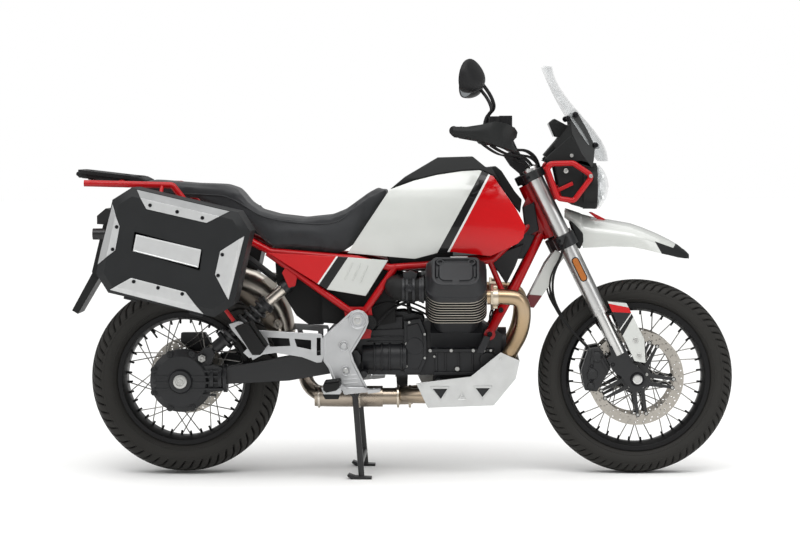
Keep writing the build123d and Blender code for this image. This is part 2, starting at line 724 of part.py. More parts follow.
# Rider's and passenger's pegs, brake pedal and gear lever.
with BuildPart() as right_foot:
    slab([(-256, 332), (-202, 338), (-202, 322), (-214, 312), (-246, 306), (-256, 314)],
         -320, -PLATE_Y[1] - SEAT_GAP)
    cross_rod(-185, 300, -226, -PLATE_Y[1] - SEAT_GAP, 11)
    slab([(-214, 320), (-202, 306), (-184, 290), (-96, 299), (-96, 309), (-184, 310), (-206, 326)],
         -226, -214)
    slab([(-112, 296), (-72, 301), (-70, 311), (-112, 309)], -262, -214)
    slab([(-545, 520), (-502, 534), (-446, 452), (-462, 430), (-488, 430)], -318, -ARM_Y[1] - SEAT_GAP)
with BuildPart() as foot_controls:
    add(right_foot.part)
    both_sides()
write(foot_controls, "foot_controls")

# Centre stand: over-centre legs, so the machine's weight holds it down.
STAND_LEAD = 22  # the feet ahead of the hinge
STAND_LEG_R = 10
with BuildPart() as right_stand:
    cross_rod(PIVOT_X, STAND_Z, -STAND_Y - 9, -STAND_Y + 9, 17)
    bar([(PIVOT_X, -STAND_Y, STAND_Z), (PIVOT_X + STAND_LEAD, -STAND_Y - 10, 6)], STAND_LEG_R)
    slab([(-172, 0), (-104, 0), (-104, 7), (-160, 10), (-180, 18), (-186, 12)], -STAND_Y - 32, -STAND_Y + 8)
    bar([(PIVOT_X + 19, 0, 52), (PIVOT_X + 19, -STAND_Y - 8, 52)], STAND_LEG_R)
    cross_rod(PIVOT_X, STAND_Z, -200, -100, PIN_R + PIN_GAP, mode=Mode.SUBTRACT)
with BuildPart() as centre_stand:
    add(right_stand.part)
    both_sides()
write(centre_stand, "centre_stand")

# Side stand, folded back along the left side. Its hinge leans, so that it also swings outward.
SIDE_PIVOT = Vector(-10, 187, 258)
SIDE_AXIS = Vector(0, -0.906, -0.423)
SIDE_LEG_END = SIDE_PIVOT + Vector(-225, 0, -9)
side_hinge = Plane(origin=SIDE_PIVOT, x_dir=(1, 0, 0), z_dir=SIDE_AXIS)
with BuildPart() as side_stand:
    with BuildSketch(side_hinge.offset(-9)) as eye:
        Circle(16)
    extrude(eye.sketch, amount=18)
    bar([SIDE_PIVOT, SIDE_LEG_END], 9)
    bar([SIDE_LEG_END + Vector(14, 0, 0.5), SIDE_LEG_END + Vector(-8, 0, -0.3)], 14)
    with BuildSketch(side_hinge.offset(-20)) as bore:
        Circle(PIN_R + PIN_GAP)
    extrude(bore.sketch, amount=40, mode=Mode.SUBTRACT)
write(side_stand, "side_stand")
with BuildPart() as side_stand_bracket:
    with BuildSketch(side_hinge.offset(-14)) as pin:
        Circle(PIN_R)
    extrude(pin.sketch, amount=27)
    with BuildSketch(side_hinge.offset(9.5)) as lug:
        Circle(16)
    extrude(lug.sketch, amount=42)
    with BuildSketch(side_hinge.offset(-14)) as head:
        Circle(13)
    extrude(head.sketch, amount=4.5)
    slab([(-24, 222), (8, 222), (12, 340.5), (-30, 340.5)], 124, 150)
    slab([(-30, 320), (12, 320), (12, 340.5), (-30, 340.5)], 60, 150)
write(side_stand_bracket, "side_stand_bracket")

# ---------------------------------------------------------------- swingarm, shaft drive and rear damper
ARM_RIGHT_Y = (92.3, 145)
ARM_LEFT_Y = (92.3, 114)
DRIVE_R = 105
DRIVE_JOINT = 139  # where the drive's neck meets the swingarm, ahead of the axle
DRIVE_Y = (88, 150)

with BuildPart() as swingarm:
    slab([(-140, 412), (-152, 430), (-240, 432), (-380, 410)]
         + by_rear_axle([(DRIVE_JOINT, 44), (DRIVE_JOINT, -11)])
         + [(-380, 328), (-240, 352), (-152, 370), (-140, 388)], -ARM_RIGHT_Y[1], -ARM_RIGHT_Y[0])
    slab([(-140, 412), (-152, 430), (-330, 468), (-450, 458)]
         + by_rear_axle([(144, 83), (-26, 25), (-36, 0), (-24, -23), (24, -23), (144, 23)])
         + [(-450, 405), (-330, 412), (-152, 370), (-140, 388)], ARM_LEFT_Y[0], ARM_LEFT_Y[1])
    slab([(-275, 382), (-228, 382), (-228, 428), (-275, 428)], -ARM_RIGHT_Y[1], ARM_LEFT_Y[1])
    slab(by_rear_axle([(4, 18), (89, 53), (76, 128), (4, 135)]), ARM_LEFT_Y[0], 100)
    cross_rod(REAR_AXLE_X, REAR_AXLE_Z, 90, 120, AXLE_R + SEAT_GAP, mode=Mode.SUBTRACT)
write(swingarm, "swingarm")

with BuildPart() as final_drive:
    cross_rod(REAR_AXLE_X, REAR_AXLE_Z, -DRIVE_Y[1] + 12, -DRIVE_Y[0], DRIVE_R)
    with BuildSketch(side_plane(-DRIVE_Y[1] + 12)) as dome:
        with Locations((REAR_AXLE_X, REAR_AXLE_Z)):
            Circle(DRIVE_R)
    extrude(dome.sketch, amount=12, taper=50)
    neck = DRIVE_JOINT - SEAT_GAP
    slab(by_rear_axle([(0, -45), (104, -37), (neck, -31), (neck, 45), (104, 53), (0, 45)]), -148, -94)
    cross_rod(REAR_AXLE_X, REAR_AXLE_Z, -164, -140, 22)
    for y_from, y_to in ((-140, -131), (-105, -96)):
        slab(by_rear_axle([(32, 65), (80, 113), (104, 109), (112, 89), (92, 39)]), y_from, y_to)
    cross_rod(SHOCK_FOOT[0], SHOCK_FOOT[1], -138, -98, 7)
    cross_rod(REAR_AXLE_X, REAR_AXLE_Z, -100, 126, AXLE_R)
    cross_rod(REAR_AXLE_X, REAR_AXLE_Z, ARM_LEFT_Y[1] + SEAT_GAP, 132, 21)
write(final_drive, "final_drive")

shock_foot = Vector(SHOCK_FOOT[0], -SHOCK_Y, SHOCK_FOOT[1])
shock_top = Vector(SHOCK_TOP[0], -SHOCK_Y, SHOCK_TOP[1])
shock_plane = Plane(origin=shock_foot, z_dir=shock_top - shock_foot)
shock_length = (shock_top - shock_foot).length
SHOCK_PARTS = [  # from and to along the damper, radius
    (10, shock_length - 1, 8),
    (24, 70, 20),
    (62, 74, 33),
    (74, shock_length - 120, 30),
    (shock_length - 120, shock_length - 110, 33),
    (shock_length - 112, shock_length - 20, 18),
]
with BuildPart() as shock_absorber:
    for low, high, radius in SHOCK_PARTS:
        with BuildSketch(shock_plane.offset(low)) as turn:
            Circle(radius)
        extrude(turn.sketch, amount=high - low)
    for x, z in (SHOCK_FOOT, SHOCK_TOP):
        cross_rod(x, z, -SHOCK_Y - 12.5, -SHOCK_Y + 12.5, 15)
        cross_rod(x, z, -SHOCK_Y - 13, -SHOCK_Y + 13, 7 + SEAT_GAP, mode=Mode.SUBTRACT)
write(shock_absorber, "shock_absorber")

with BuildPart() as rear_caliper:
    slab(by_rear_axle([(-24, 111), (-22, 147), (60, 147), (80, 113), (54, 89), (0, 93)]), 46, 92)
    cross_rod(
        REAR_AXLE_X, REAR_AXLE_Z, REAR_DISC_Y - 7.3, REAR_DISC_Y + 7.3, REAR_DISC_R + 6, mode=Mode.SUBTRACT
    )
write(rear_caliper, "rear_caliper")

# ---------------------------------------------------------------- bodywork
TANK_SECTIONS = [  # x, half widths at the foot, widest and top, heights of the widest and the top
    (-195, 112, 124, 84, 800, 1000),
    (-40, 130, 146, 92, 840, 1030),
    (120, 146, 170, 98, 880, 1060),
    (270, 150, 180, 100, 880, 1060),
    (420, 134, 162, 84, 860, 1010),
]
TANK_OUTLINE = [(-183, 755), (-41, 967), (40, 996), (118, 1015), (200, 1027), (260, 1030), (305, 1010),
                (381, 900), (411, 843), (404, 806), (386, 787), (295, 745), (164, 760), (118, 756),
                (42, 736), (-30, 742)]


def tank_section(x, foot, widest, top, z_widest, z_top):
    """Half-round tank section on a cross plane, from z 700 up to its top."""
    with BuildSketch(cross_plane(x)) as section:
        with BuildLine():
            Line((-foot, 700), (foot, 700))
            ThreePointArc((foot, 700), (widest, z_widest), (top, z_top))
            Line((top, z_top), (-top, z_top))
            ThreePointArc((-top, z_top), (-widest, z_widest), (-foot, 700))
        make_face()
    return section.sketch


with BuildPart() as fuel_tank:
    loft([tank_section(*row) for row in TANK_SECTIONS])
    slab(TANK_OUTLINE, -200, 200, mode=Mode.INTERSECT)
    slab([(285, 700), (290, 765), (345, 860), (400, 925), (440, 925), (440, 700)], -118, 118,
         mode=Mode.SUBTRACT)
    bar([(446, -24, 862), (300, -96, 728), (119, -130, 718)], RAIL_R + TUBE_GAP, 40, mode=Mode.SUBTRACT)
    bar([(446, 24, 862), (300, 96, 728), (119, 130, 718)], RAIL_R + TUBE_GAP, 40, mode=Mode.SUBTRACT)
write(fuel_tank, "fuel_tank")

COVER_NOSE_HALF = 56  # ahead of the bars' full turn only this much of the cover stays between the fork legs
with BuildPart() as tank_cover:
    slab([(-41, 967.5), (9, 1009), (118, 1073), (237, 1076), (282, 1039), (315, 1043), (334, 1027),
          (379, 957), (402, 930), (396, 884), (381.5, 901), (305.5, 1011), (260, 1031), (200, 1028), (118, 1016),
          (40, 997)], -96, 96)
    with BuildSketch(cross_plane(-60)) as roof:
        with BuildLine():
            Polyline((-97, 870), (-97, 1004), (-62, 1080), (62, 1080), (97, 1004), (97, 870), close=True)
        make_face()
    extrude(roof.sketch, amount=480, mode=Mode.INTERSECT)
    for y_from, y_to in ((-100, -COVER_NOSE_HALF), (COVER_NOSE_HALF, 100)):
        slab([(386, 870), (284, 1080), (460, 1080), (460, 870)], y_from, y_to, mode=Mode.SUBTRACT)
write(tank_cover, "tank_cover")

SEAT_PLAN = [(-20, -84), (-120, -100), (-240, -146), (-430, -152), (-540, -132), (-860, -122),
             (-890, -100), (-890, 100), (-860, 122), (-540, 132), (-430, 152), (-240, 146), (-120, 100),
             (-20, 84)]
with BuildPart() as seat:
    slab([(-184.5, 756.5), (-43, 968), (-52, 983), (-110, 952), (-188, 896), (-240, 875), (-330, 866),
          (-420, 876), (-480, 893), (-520, 920), (-556, 966), (-600, 980), (-700, 984), (-862, 998),
          (-888, 984), (-884, 966), (-685, 945), (-514, 863), (-442, 775)], -160, 160)
    with BuildSketch(Plane.XY.offset(740)) as plan:
        with BuildLine():
            Polyline(*SEAT_PLAN, close=True)
        make_face()
    extrude(plan.sketch, amount=280, mode=Mode.INTERSECT)
write(seat, "seat")

with BuildPart() as right_side_cover:
    slab([(-448, 757), (-209, 744), (-47, 731), (-122, 612), (-252, 634)], -150, -144.4)
with BuildPart() as side_covers:
    add(right_side_cover.part)
    both_sides()
write(side_covers, "side_covers")

with BuildPart() as inner_box:
    slab([(-24, 696.7), (-24, 520), (-100, 505), (-270, 520), (-270, 715), (-150, 690)], -108, 108)
    slab([(-269, 715), (-269, 512), (-318, 512), (-359, 542), (-397, 604), (-425, 650), (-430, 735)],
         -80, 80)
write(inner_box, "inner_box")

# Rear mudguard: an arch over the tyre, the tail under the seat and a hanger for the number plate.
HANGER_HOLE_R = 3.25
HANGER_PCD = 76
hanger_face = Plane(
    origin=(REAR_AXLE_X - 342, 0, REAR_AXLE_Z + 298), x_dir=(0, 1, 0), z_dir=(-0.8748, 0, 0.4845)
)
with BuildPart() as rear_fender:
    slab([(-430.3, 652), (-520, 722), (-640, 790)]
         + by_rear_axle([(-116, 531), (-186, 515), (-241, 469), (-286, 341), (-308, 363), (-268, 523),
                         (-221, 570), (-146, 588)])
         + [(-640, 802), (-520, 734), (-430.3, 664)], -74, 74)
    slab(by_rear_axle([(-286, 341), (-358, 221), (-378, 233), (-306, 363)]), -66, 66)
    slab([(-652, 790), (-628, 785), (-630, 855.7), (-650, 855.7)], -40, 40)
    with BuildSketch(hanger_face.offset(-40)) as holes:
        with Locations((-HANGER_PCD / 2, 0), (HANGER_PCD / 2, 0)):
            Circle(HANGER_HOLE_R)
    extrude(holes.sketch, amount=80, mode=Mode.SUBTRACT)
write(rear_fender, "rear_fender")

with BuildPart() as rear_lamps:
    slab(by_rear_axle([(-268.2, 523.2), (-221.2, 570.2), (-262, 578), (-292, 553), (-292, 525)]), -52, 52)
    (stalk_x, stalk_z), (lamp_back, _), (lamp_front, _) = by_rear_axle([(-266, 495), (-290, 0), (-248, 0)])
    for side in (-1, 1):
        bar([(stalk_x, side * 74.3, stalk_z), (stalk_x, side * 136, stalk_z)], 7)
        bar([(lamp_back, side * 150, stalk_z), (lamp_front, side * 150, stalk_z)], 19)
write(rear_lamps, "rear_lamps")

# Luggage rack: a plate on red tubes that also serve as grab rails and carry the side cases.
RACK_TUBE_R = 11
RACK_HOLE_R = 4.5
RACK_PCD = 150
rack_face = Plane(origin=(-1000, 0, 1020), x_dir=(0.9929, 0, -0.1192), z_dir=(0.1192, 0, 0.9929))
with BuildPart() as rear_rack:
    with BuildSketch(rack_face.offset(-6)) as deck:
        RectangleRounded(188, 210, 24)
        with Locations((-60, 0), (60, 0)):
            SlotOverall(70, 16, rotation=90, mode=Mode.SUBTRACT)
        with PolarLocations(RACK_PCD / 2, 4, start_angle=45):
            Circle(RACK_HOLE_R, mode=Mode.SUBTRACT)
    extrude(deck.sketch, amount=12)
    for x, rise in ((-1050, 21), (-940, 9)):
        with BuildSketch(Plane.XY.offset(1002.8)) as post:
            with Locations((x, -86), (x, 86)):
                Circle(9)
        extrude(post.sketch, amount=rise)
write(rear_rack, "rear_rack")

CASE_ALONG = Vector(0.9736, 0, -0.2284)
CASE_UP = Vector(0.2284, 0, 0.9736)
CASE_CENTRE = Vector(-731, 0, 772)
CARRIER_Y = 238
CASE_LOOP_R = 7.6
STRUT_R = 6.5


def case_point(u, y, v):
    """A point given in the side case's own tilted view: u forward, v up, y across the machine."""
    return CASE_CENTRE + CASE_ALONG * u + CASE_UP * v + Vector(0, y, 0)


with BuildPart() as right_rack:
    bar([(-700, -111.5, 884), (-700, -150, 900), (-766, -150, 984), (-1062, -150, 992)], RACK_TUBE_R, 18)
    bar([case_point(-150, -CARRIER_Y, 108), case_point(150, -CARRIER_Y, 108),
         case_point(150, -CARRIER_Y, -108), case_point(-150, -CARRIER_Y, -108),
         case_point(-150, -CARRIER_Y, 108)], CASE_LOOP_R, 20)
    bar([(-800, -150, 985), case_point(-100, -CARRIER_Y, 108)], STRUT_R)
    bar([case_point(130, -CARRIER_Y, -108), (-556, -CARRIER_Y + 1, 536)], STRUT_R)
with BuildPart() as rack_tubes:
    add(right_rack.part)
    both_sides()
    for x in (-1050, -940):
        cross_rod(x, 991.5, -150, 150, 11)
write(rack_tubes, "rack_tubes")

# ---------------------------------------------------------------- headlamps, cockpit and windscreen
LAMP_Y = 72
LAMP_Z = 973
LAMP_R = 74
LAMP_BACK_X = 606
LAMP_FACE_X = 652
GUARD_Y = 156
GUARD_R = 9
SCREEN_SECTIONS = [  # z, x at the centre, x at the edge, half width
    (1058, 694, 668, 100),
    (1110, 682, 628, 126),
    (1230, 591, 548, 132),
    (1378, 506, 476, 100),
]
SCREEN_T = 4

with BuildPart() as headlight_body:
    for y in (-LAMP_Y, LAMP_Y):
        bar([(LAMP_BACK_X, y, LAMP_Z), (LAMP_FACE_X, y, LAMP_Z)], LAMP_R)
    slab([(600, 940), (LAMP_FACE_X, 916), (LAMP_FACE_X, 1040), (600, 1024)], -LAMP_Y, LAMP_Y)
    slab([(612, 1030), (LAMP_FACE_X, 1030), (LAMP_FACE_X, 1052), (612, 1052)], -60, 60)
    cross_rod(632, 1006, -GUARD_Y + GUARD_R + SEAT_GAP, GUARD_Y - GUARD_R - SEAT_GAP, 8)
write(headlight_body, "headlight_body")

LENS_R = LAMP_R - 3
LENS_DEPTH = 40
LENS_RISE = 30  # how far the glass bulges beyond its rim
LENS_BALL_R = (LENS_R**2 + LENS_RISE**2) / (2 * LENS_RISE)
lens_centre_x = LAMP_FACE_X + LENS_DEPTH - LENS_BALL_R
lens_half_angle = asin(LENS_R / LENS_BALL_R) / 2
with BuildPart() as right_lens:
    with BuildSketch(Plane(origin=(0, -LAMP_Y, LAMP_Z), x_dir=(1, 0, 0), z_dir=(0, 0, 1))):
        with BuildLine():
            Polyline(
                (LAMP_FACE_X + LENS_DEPTH, 0), (LAMP_FACE_X + SEAT_GAP, 0),
                (LAMP_FACE_X + SEAT_GAP, LENS_R), (LAMP_FACE_X + LENS_DEPTH - LENS_RISE, LENS_R),
            )
            ThreePointArc(
                (LAMP_FACE_X + LENS_DEPTH - LENS_RISE, LENS_R),
                (
                    lens_centre_x + LENS_BALL_R * cos(lens_half_angle),
                    LENS_BALL_R * sin(lens_half_angle),
                ),
                (LAMP_FACE_X + LENS_DEPTH, 0),
            )
        make_face()
    revolve(axis=Axis((0, -LAMP_Y, LAMP_Z), (1, 0, 0)))
with BuildPart() as headlight_lenses:
    add(right_lens.part)
    both_sides()
write(headlight_lenses, "headlight_lenses")

# Red tube loop beside each headlamp, ahead of the fork.
with BuildPart() as right_guard:
    bar([(520, -GUARD_Y, 1052), (570, -GUARD_Y, 1053), (634, -GUARD_Y, 1010), (572, -GUARD_Y, 928),
         (520, -GUARD_Y, 936), (478, -GUARD_Y, 1050), (520, -GUARD_Y, 1052)], GUARD_R, 16)
with BuildPart() as headlight_guard:
    add(right_guard.part)
    both_sides()
write(headlight_guard, "headlight_guard")

with BuildPart() as cockpit_fairing:
    slab([(542, 1062), (506, 1112), (560, 1183), (604, 1128), (632, 1052.5), (600, 1052.5)], -125, 125)
    slab([(470, 1060), (540, 1068), (627, 1068), (599, 1126), (557, 1176), (470, 1240)], -121, 121,
         mode=Mode.SUBTRACT)
    for y in (-64, 64):
        bar([(600, y, 1104), (661.4, y, 1108.4)], 8)
write(cockpit_fairing, "cockpit_fairing")

with BuildPart() as instrument:
    slab([(482, 1082), (495, 1193), (511, 1202), (562, 1168), (540, 1122)], -70, 70)
    slab([(545, 1068.3), (590, 1068.3), (556, 1160), (535, 1115)], -24, 24)
write(instrument, "instrument")


def screen_section(z, x_centre, x_edge, half):
    """A level band of the windscreen, bowed forward at its middle."""
    with BuildSketch(Plane.XY.offset(z)) as band:
        with BuildLine():
            ThreePointArc((x_edge, -half), (x_centre, 0), (x_edge, half))
            Line((x_edge, half), (x_edge - SCREEN_T, half))
            ThreePointArc((x_edge - SCREEN_T, half), (x_centre - SCREEN_T, 0), (x_edge - SCREEN_T, -half))
            Line((x_edge - SCREEN_T, -half), (x_edge, -half))
        make_face()
    return band.sketch


with BuildPart() as windscreen:
    loft([screen_section(*row) for row in SCREEN_SECTIONS])
write(windscreen, "windscreen")

# Front brake hoses, held along the fork.
HOSE_R = 4
with BuildPart() as right_hose:
    hose = [fork_point(LEG_X, -LEG_Y - CLAMP_EYE_R - HOSE_R - SEAT_GAP, 520), (516, -148, 700),
            (500, -148, 640), (528, -146, 560), (625, -80, 428.9)]
    bar(hose, HOSE_R, 24)
with BuildPart() as brake_hoses:
    add(right_hose.part)
    both_sides()
write(brake_hoses, "brake_hoses")

# ---------------------------------------------------------------- side cases
CASE_HALF_U = 228
CASE_HALF_V = 174
CASE_CORNER = 52
CASE_WALL = 3
CASE_INNER_Y = 246.3
CASE_SPLIT_Y = 360
CASE_OUTER_Y = 457
CASE_BEVEL = 26
CASE_HINGE_V = -CASE_HALF_V - 8
CASE_HINGE_U = (-110, 110)
KNUCKLE_R = 7
KNUCKLE_PIN_R = 3.5
KNUCKLE_L = 22


def case_plane(y):
    """The side case's own tilted side view, looking from the machine's right."""
    return Plane(origin=CASE_CENTRE + Vector(0, y, 0), x_dir=CASE_ALONG, z_dir=(0, -1, 0))


def case_outline(y, inset):
    """The case's eight-cornered outline on its plane at y, drawn in by an inset."""
    with BuildSketch(case_plane(y)) as outline:
        Rectangle(2 * (CASE_HALF_U - inset), 2 * (CASE_HALF_V - inset))
        chamfer(outline.vertices(), CASE_CORNER - 0.6 * inset)
    return outline.sketch


def knuckle(u_from, u_to, radius, mode=Mode.ADD):
    """Adds a round bar along the lid's hinge line."""
    origin = case_point(u_from, -CASE_SPLIT_Y, CASE_HINGE_V)
    with BuildSketch(Plane(origin=origin, z_dir=CASE_ALONG)) as disc:
        Circle(radius)
    extrude(disc.sketch, amount=u_to - u_from, mode=mode)


def hinge_leaf(u_from, u_to, y_from, y_to):
    """Adds the block that joins a knuckle to the wall above it."""
    with BuildSketch(case_plane(y_to)) as leaf:
        with BuildLine():
            Polyline((u_from, CASE_HINGE_V), (u_to, CASE_HINGE_V), (u_to, -CASE_HALF_V + 1),
                     (u_from, -CASE_HALF_V + 1), close=True)
        make_face()
    extrude(leaf.sketch, amount=abs(y_to - y_from))


with BuildPart() as pannier_shell_right:
    extrude(case_outline(-CASE_INNER_Y, 0), amount=CASE_SPLIT_Y - SEAT_GAP - CASE_INNER_Y)
    extrude(case_outline(-CASE_INNER_Y - CASE_WALL, CASE_WALL), amount=120, mode=Mode.SUBTRACT)
    for u in CASE_HINGE_U:
        hinge_leaf(u - KNUCKLE_L, u, -CASE_SPLIT_Y + SEAT_GAP, -CASE_SPLIT_Y + 10)
        knuckle(u - KNUCKLE_L, u, KNUCKLE_R)
        knuckle(u - 2, u + KNUCKLE_L + 1, KNUCKLE_PIN_R)
write(pannier_shell_right, "pannier_shell_right")

with BuildPart() as pannier_lid_right:
    extrude(case_outline(-CASE_SPLIT_Y, 0), amount=CASE_OUTER_Y - CASE_BEVEL - CASE_SPLIT_Y)
    loft([case_outline(-CASE_OUTER_Y + CASE_BEVEL, 0), case_outline(-CASE_OUTER_Y, CASE_BEVEL)])
    extrude(
        case_outline(-CASE_SPLIT_Y, CASE_WALL), amount=CASE_OUTER_Y - CASE_BEVEL - CASE_SPLIT_Y,
        mode=Mode.SUBTRACT,
    )
    loft([case_outline(-CASE_OUTER_Y + CASE_BEVEL, CASE_WALL),
          case_outline(-CASE_OUTER_Y + CASE_WALL, CASE_BEVEL + 1)], mode=Mode.SUBTRACT)
    for u in CASE_HINGE_U:
        hinge_leaf(u + SEAT_GAP, u + KNUCKLE_L, -CASE_SPLIT_Y - 10, -CASE_SPLIT_Y)
        knuckle(u + SEAT_GAP, u + KNUCKLE_L, KNUCKLE_R)
        knuckle(u - KNUCKLE_L, u + KNUCKLE_L + 10, KNUCKLE_PIN_R + PIN_GAP, mode=Mode.SUBTRACT)
write(pannier_lid_right, "pannier_lid_right")

with BuildPart() as pannier_shell_left:
    mirror(pannier_shell_right.part, about=Plane.XZ)
write(pannier_shell_left, "pannier_shell_left")
with BuildPart() as pannier_lid_left:
    mirror(pannier_lid_right.part, about=Plane.XZ)
write(pannier_lid_left, "pannier_lid_left")
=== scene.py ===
from math import atan2, cos, hypot, pi, radians, sin, sqrt

import bmesh
import bpy
from mathutils import Matrix, Quaternion, Vector
from mathutils.bvhtree import BVHTree


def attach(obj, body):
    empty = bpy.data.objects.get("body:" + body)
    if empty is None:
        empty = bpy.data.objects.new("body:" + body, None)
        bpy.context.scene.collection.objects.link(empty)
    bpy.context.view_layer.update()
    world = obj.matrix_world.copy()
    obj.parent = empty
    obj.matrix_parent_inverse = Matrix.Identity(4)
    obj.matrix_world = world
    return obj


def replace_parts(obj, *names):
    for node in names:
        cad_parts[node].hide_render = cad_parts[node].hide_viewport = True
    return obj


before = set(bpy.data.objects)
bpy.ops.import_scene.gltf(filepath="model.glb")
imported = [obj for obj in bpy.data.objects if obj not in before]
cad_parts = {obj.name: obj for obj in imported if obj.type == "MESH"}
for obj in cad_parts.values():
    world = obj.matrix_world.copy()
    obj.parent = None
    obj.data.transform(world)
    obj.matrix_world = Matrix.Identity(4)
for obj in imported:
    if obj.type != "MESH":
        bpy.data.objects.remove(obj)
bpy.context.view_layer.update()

# ---------------------------------------------------------------- studio
# A white seamless floor under a wide overhead scrim, with a strip above and a panel each way so that paint
# and tubes carry long soft highlights. The camera stands square to the machine's right side.
EYE = Vector((0.201, -7.879, 1.108))
AIM = Vector((-0.011, 0.0, 0.696))
ROLL = -0.004
LENS = 104.4


def linear(code):
    """An sRGB hex colour as Blender's linear colour."""
    parts = [int(code[i:i + 2], 16) / 255 for i in (1, 3, 5)]
    return tuple(p / 12.92 if p <= 0.04045 else ((p + 0.055) / 1.055) ** 2.4 for p in parts) + (1.0,)


def add(tree, kind, sockets, **settings):
    """Adds a node. A socket takes a value or another node's output; settings are the node's properties."""
    made = tree.nodes.new("ShaderNode" + kind)
    for key, value in settings.items():
        setattr(made, key, value)
    for key, value in sockets.items():
        if isinstance(value, bpy.types.NodeSocket):
            tree.links.new(value, made.inputs[key])
        else:
            made.inputs[key].default_value = value
    return made


def toned(colour, factor, lift=0.0):
    """A hex colour made darker or paler."""
    return tuple(min(1.0, c * factor + lift) for c in linear(colour)[:3]) + (1.0,)


def pattern(material, kind, sockets, **settings):
    """Adds a texture that reads the object's own coordinates."""
    tree = material.node_tree
    place = add(tree, "TexCoord", {})
    return add(tree, kind, {"Vector": place.outputs["Object"], **sockets}, **settings)


def surface(name, values, low, high, scale, detail=2.0, gloss=None):
    """A material whose colour, and gloss where a range is given, drift together with one soft noise."""
    material = bpy.data.materials.new(name)
    material.use_nodes = True
    tree = material.node_tree
    shader = tree.nodes["Principled BSDF"]
    for socket, value in values.items():
        shader.inputs[socket].default_value = value
    drift = pattern(material, "TexNoise", {"Scale": scale, "Detail": detail}, name="drift").outputs["Fac"]
    tint = add(tree, "Mix", {0: drift, 6: low, 7: high}, data_type="RGBA", name="tint")
    tree.links.new(tint.outputs[2], shader.inputs["Base Color"])
    if gloss:
        ranged = add(tree, "MapRange", {"Value": drift, "To Min": gloss[0], "To Max": gloss[1]})
        tree.links.new(ranged.outputs["Result"], shader.inputs["Roughness"])
    return material


def bumped(material, texture, strength, depth):
    """Gives a material the relief of a texture's first output, up to a depth in metres."""
    tree = material.node_tree
    relief = add(tree, "Bump", {"Height": texture.outputs[0], "Strength": strength, "Distance": depth})
    tree.links.new(relief.outputs["Normal"], tree.nodes["Principled BSDF"].inputs["Normal"])
    return material


bm = bmesh.new()
bmesh.ops.create_grid(bm, x_segments=1, y_segments=1, size=40)
floor_mesh = bpy.data.meshes.new("studio_floor")
bm.to_mesh(floor_mesh)
bm.free()
floor = bpy.data.objects.new("studio_floor", floor_mesh)
bpy.context.scene.collection.objects.link(floor)
floor_mesh.materials.append(surface("painted_board", {"Roughness": 0.9, "Specular IOR Level": 0.1},
                                    linear("#f3f3f2"), linear("#f6f6f5"), 40.0))

world = bpy.data.worlds.new("studio")
bpy.context.scene.world = world
world.use_nodes = True
sky = world.node_tree
seen = add(sky, "LightPath", {})
level = add(sky, "MapRange", {"Value": seen.outputs["Is Camera Ray"], "To Min": 0.42, "To Max": 1.0})
sky.nodes["Background"].inputs["Color"].default_value = linear("#ffffff")
sky.links.new(level.outputs["Result"], sky.nodes["Background"].inputs["Strength"])

overhead = bpy.data.lights.new("overhead_scrim", "SUN")
overhead.energy = 2.5
overhead.angle = radians(100)
hung = bpy.data.objects.new("overhead_scrim", overhead)
hung.location = (0, 0, 5)
hung.rotation_euler = (radians(8), radians(-6), 0)
bpy.context.scene.collection.objects.link(hung)

for label, at, size, power, aim in (
    ("softbox_over", (0.2, -2.2, 3.6), (4.6, 1.2), 60, (0, 0, 0.7)),
    ("panel_front", (4.5, -3.6, 2.2), (2.4, 3.0), 45, (0.3, 0, 0.7)),
    ("panel_back", (-4.8, -2.8, 2.6), (1.6, 2.6), 30, (-0.3, 0, 0.7)),
):
    lamp = bpy.data.lights.new(label, "AREA")
    lamp.shape = "RECTANGLE"
    lamp.size, lamp.size_y = size
    lamp.energy = power
    held = bpy.data.objects.new(label, lamp)
    held.location = at
    held.rotation_euler = (Vector(aim) - Vector(at)).to_track_quat("-Z", "Y").to_euler()
    bpy.context.scene.collection.objects.link(held)

lens = bpy.data.cameras.new("camera")
lens.sensor_width = 36.0
lens.lens = LENS
lens.clip_end = 60.0
camera = bpy.data.objects.new("camera", lens)
camera.location = EYE
camera.rotation_mode = "QUATERNION"
camera.rotation_quaternion = (AIM - EYE).to_track_quat("-Z", "Y") @ Quaternion((0, 0, 1), ROLL)
bpy.context.scene.collection.objects.link(camera)
bpy.context.scene.camera = camera
bpy.context.scene.view_settings.view_transform = "Standard"

# ---------------------------------------------------------------- frame and racks
# A welded trellis of steel tube, powder-coated in one gloss red that flows over the weld beads with a faint
# orange peel. Blacked cap screws hold it to the engine, and a moulded black deck caps the rear carrier.


def piece_from(name, bm, body, slot, *materials, smooth=38):
    """Makes a piece from a bmesh drawn in millimetres, and lets it ride on a body."""
    bmesh.ops.scale(bm, vec=(0.001, 0.001, 0.001), verts=bm.verts)
    mesh = bpy.data.meshes.new(name)
    bm.to_mesh(mesh)
    bm.free()
    mesh.shade_smooth()
    mesh.set_sharp_from_angle(angle=radians(smooth))
    for material in materials:
        mesh.materials.append(material)
    piece = bpy.data.objects.new(name, mesh)
    bpy.context.scene.collection.objects.link(piece)
    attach(piece, body)
    return piece


def solid_of(node):
    """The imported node's mesh in millimetres, merged, with its flat faces made whole again."""
    bm = bmesh.new()
    bm.from_mesh(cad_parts[node].data)
    bmesh.ops.scale(bm, vec=(1000, 1000, 1000), verts=bm.verts)
    bmesh.ops.remove_doubles(bm, verts=bm.verts, dist=0.01)
    bmesh.ops.dissolve_limit(bm, angle_limit=radians(0.6), verts=bm.verts, edges=bm.edges)
    for face in bm.faces:
        face.material_index = 0
    return bm


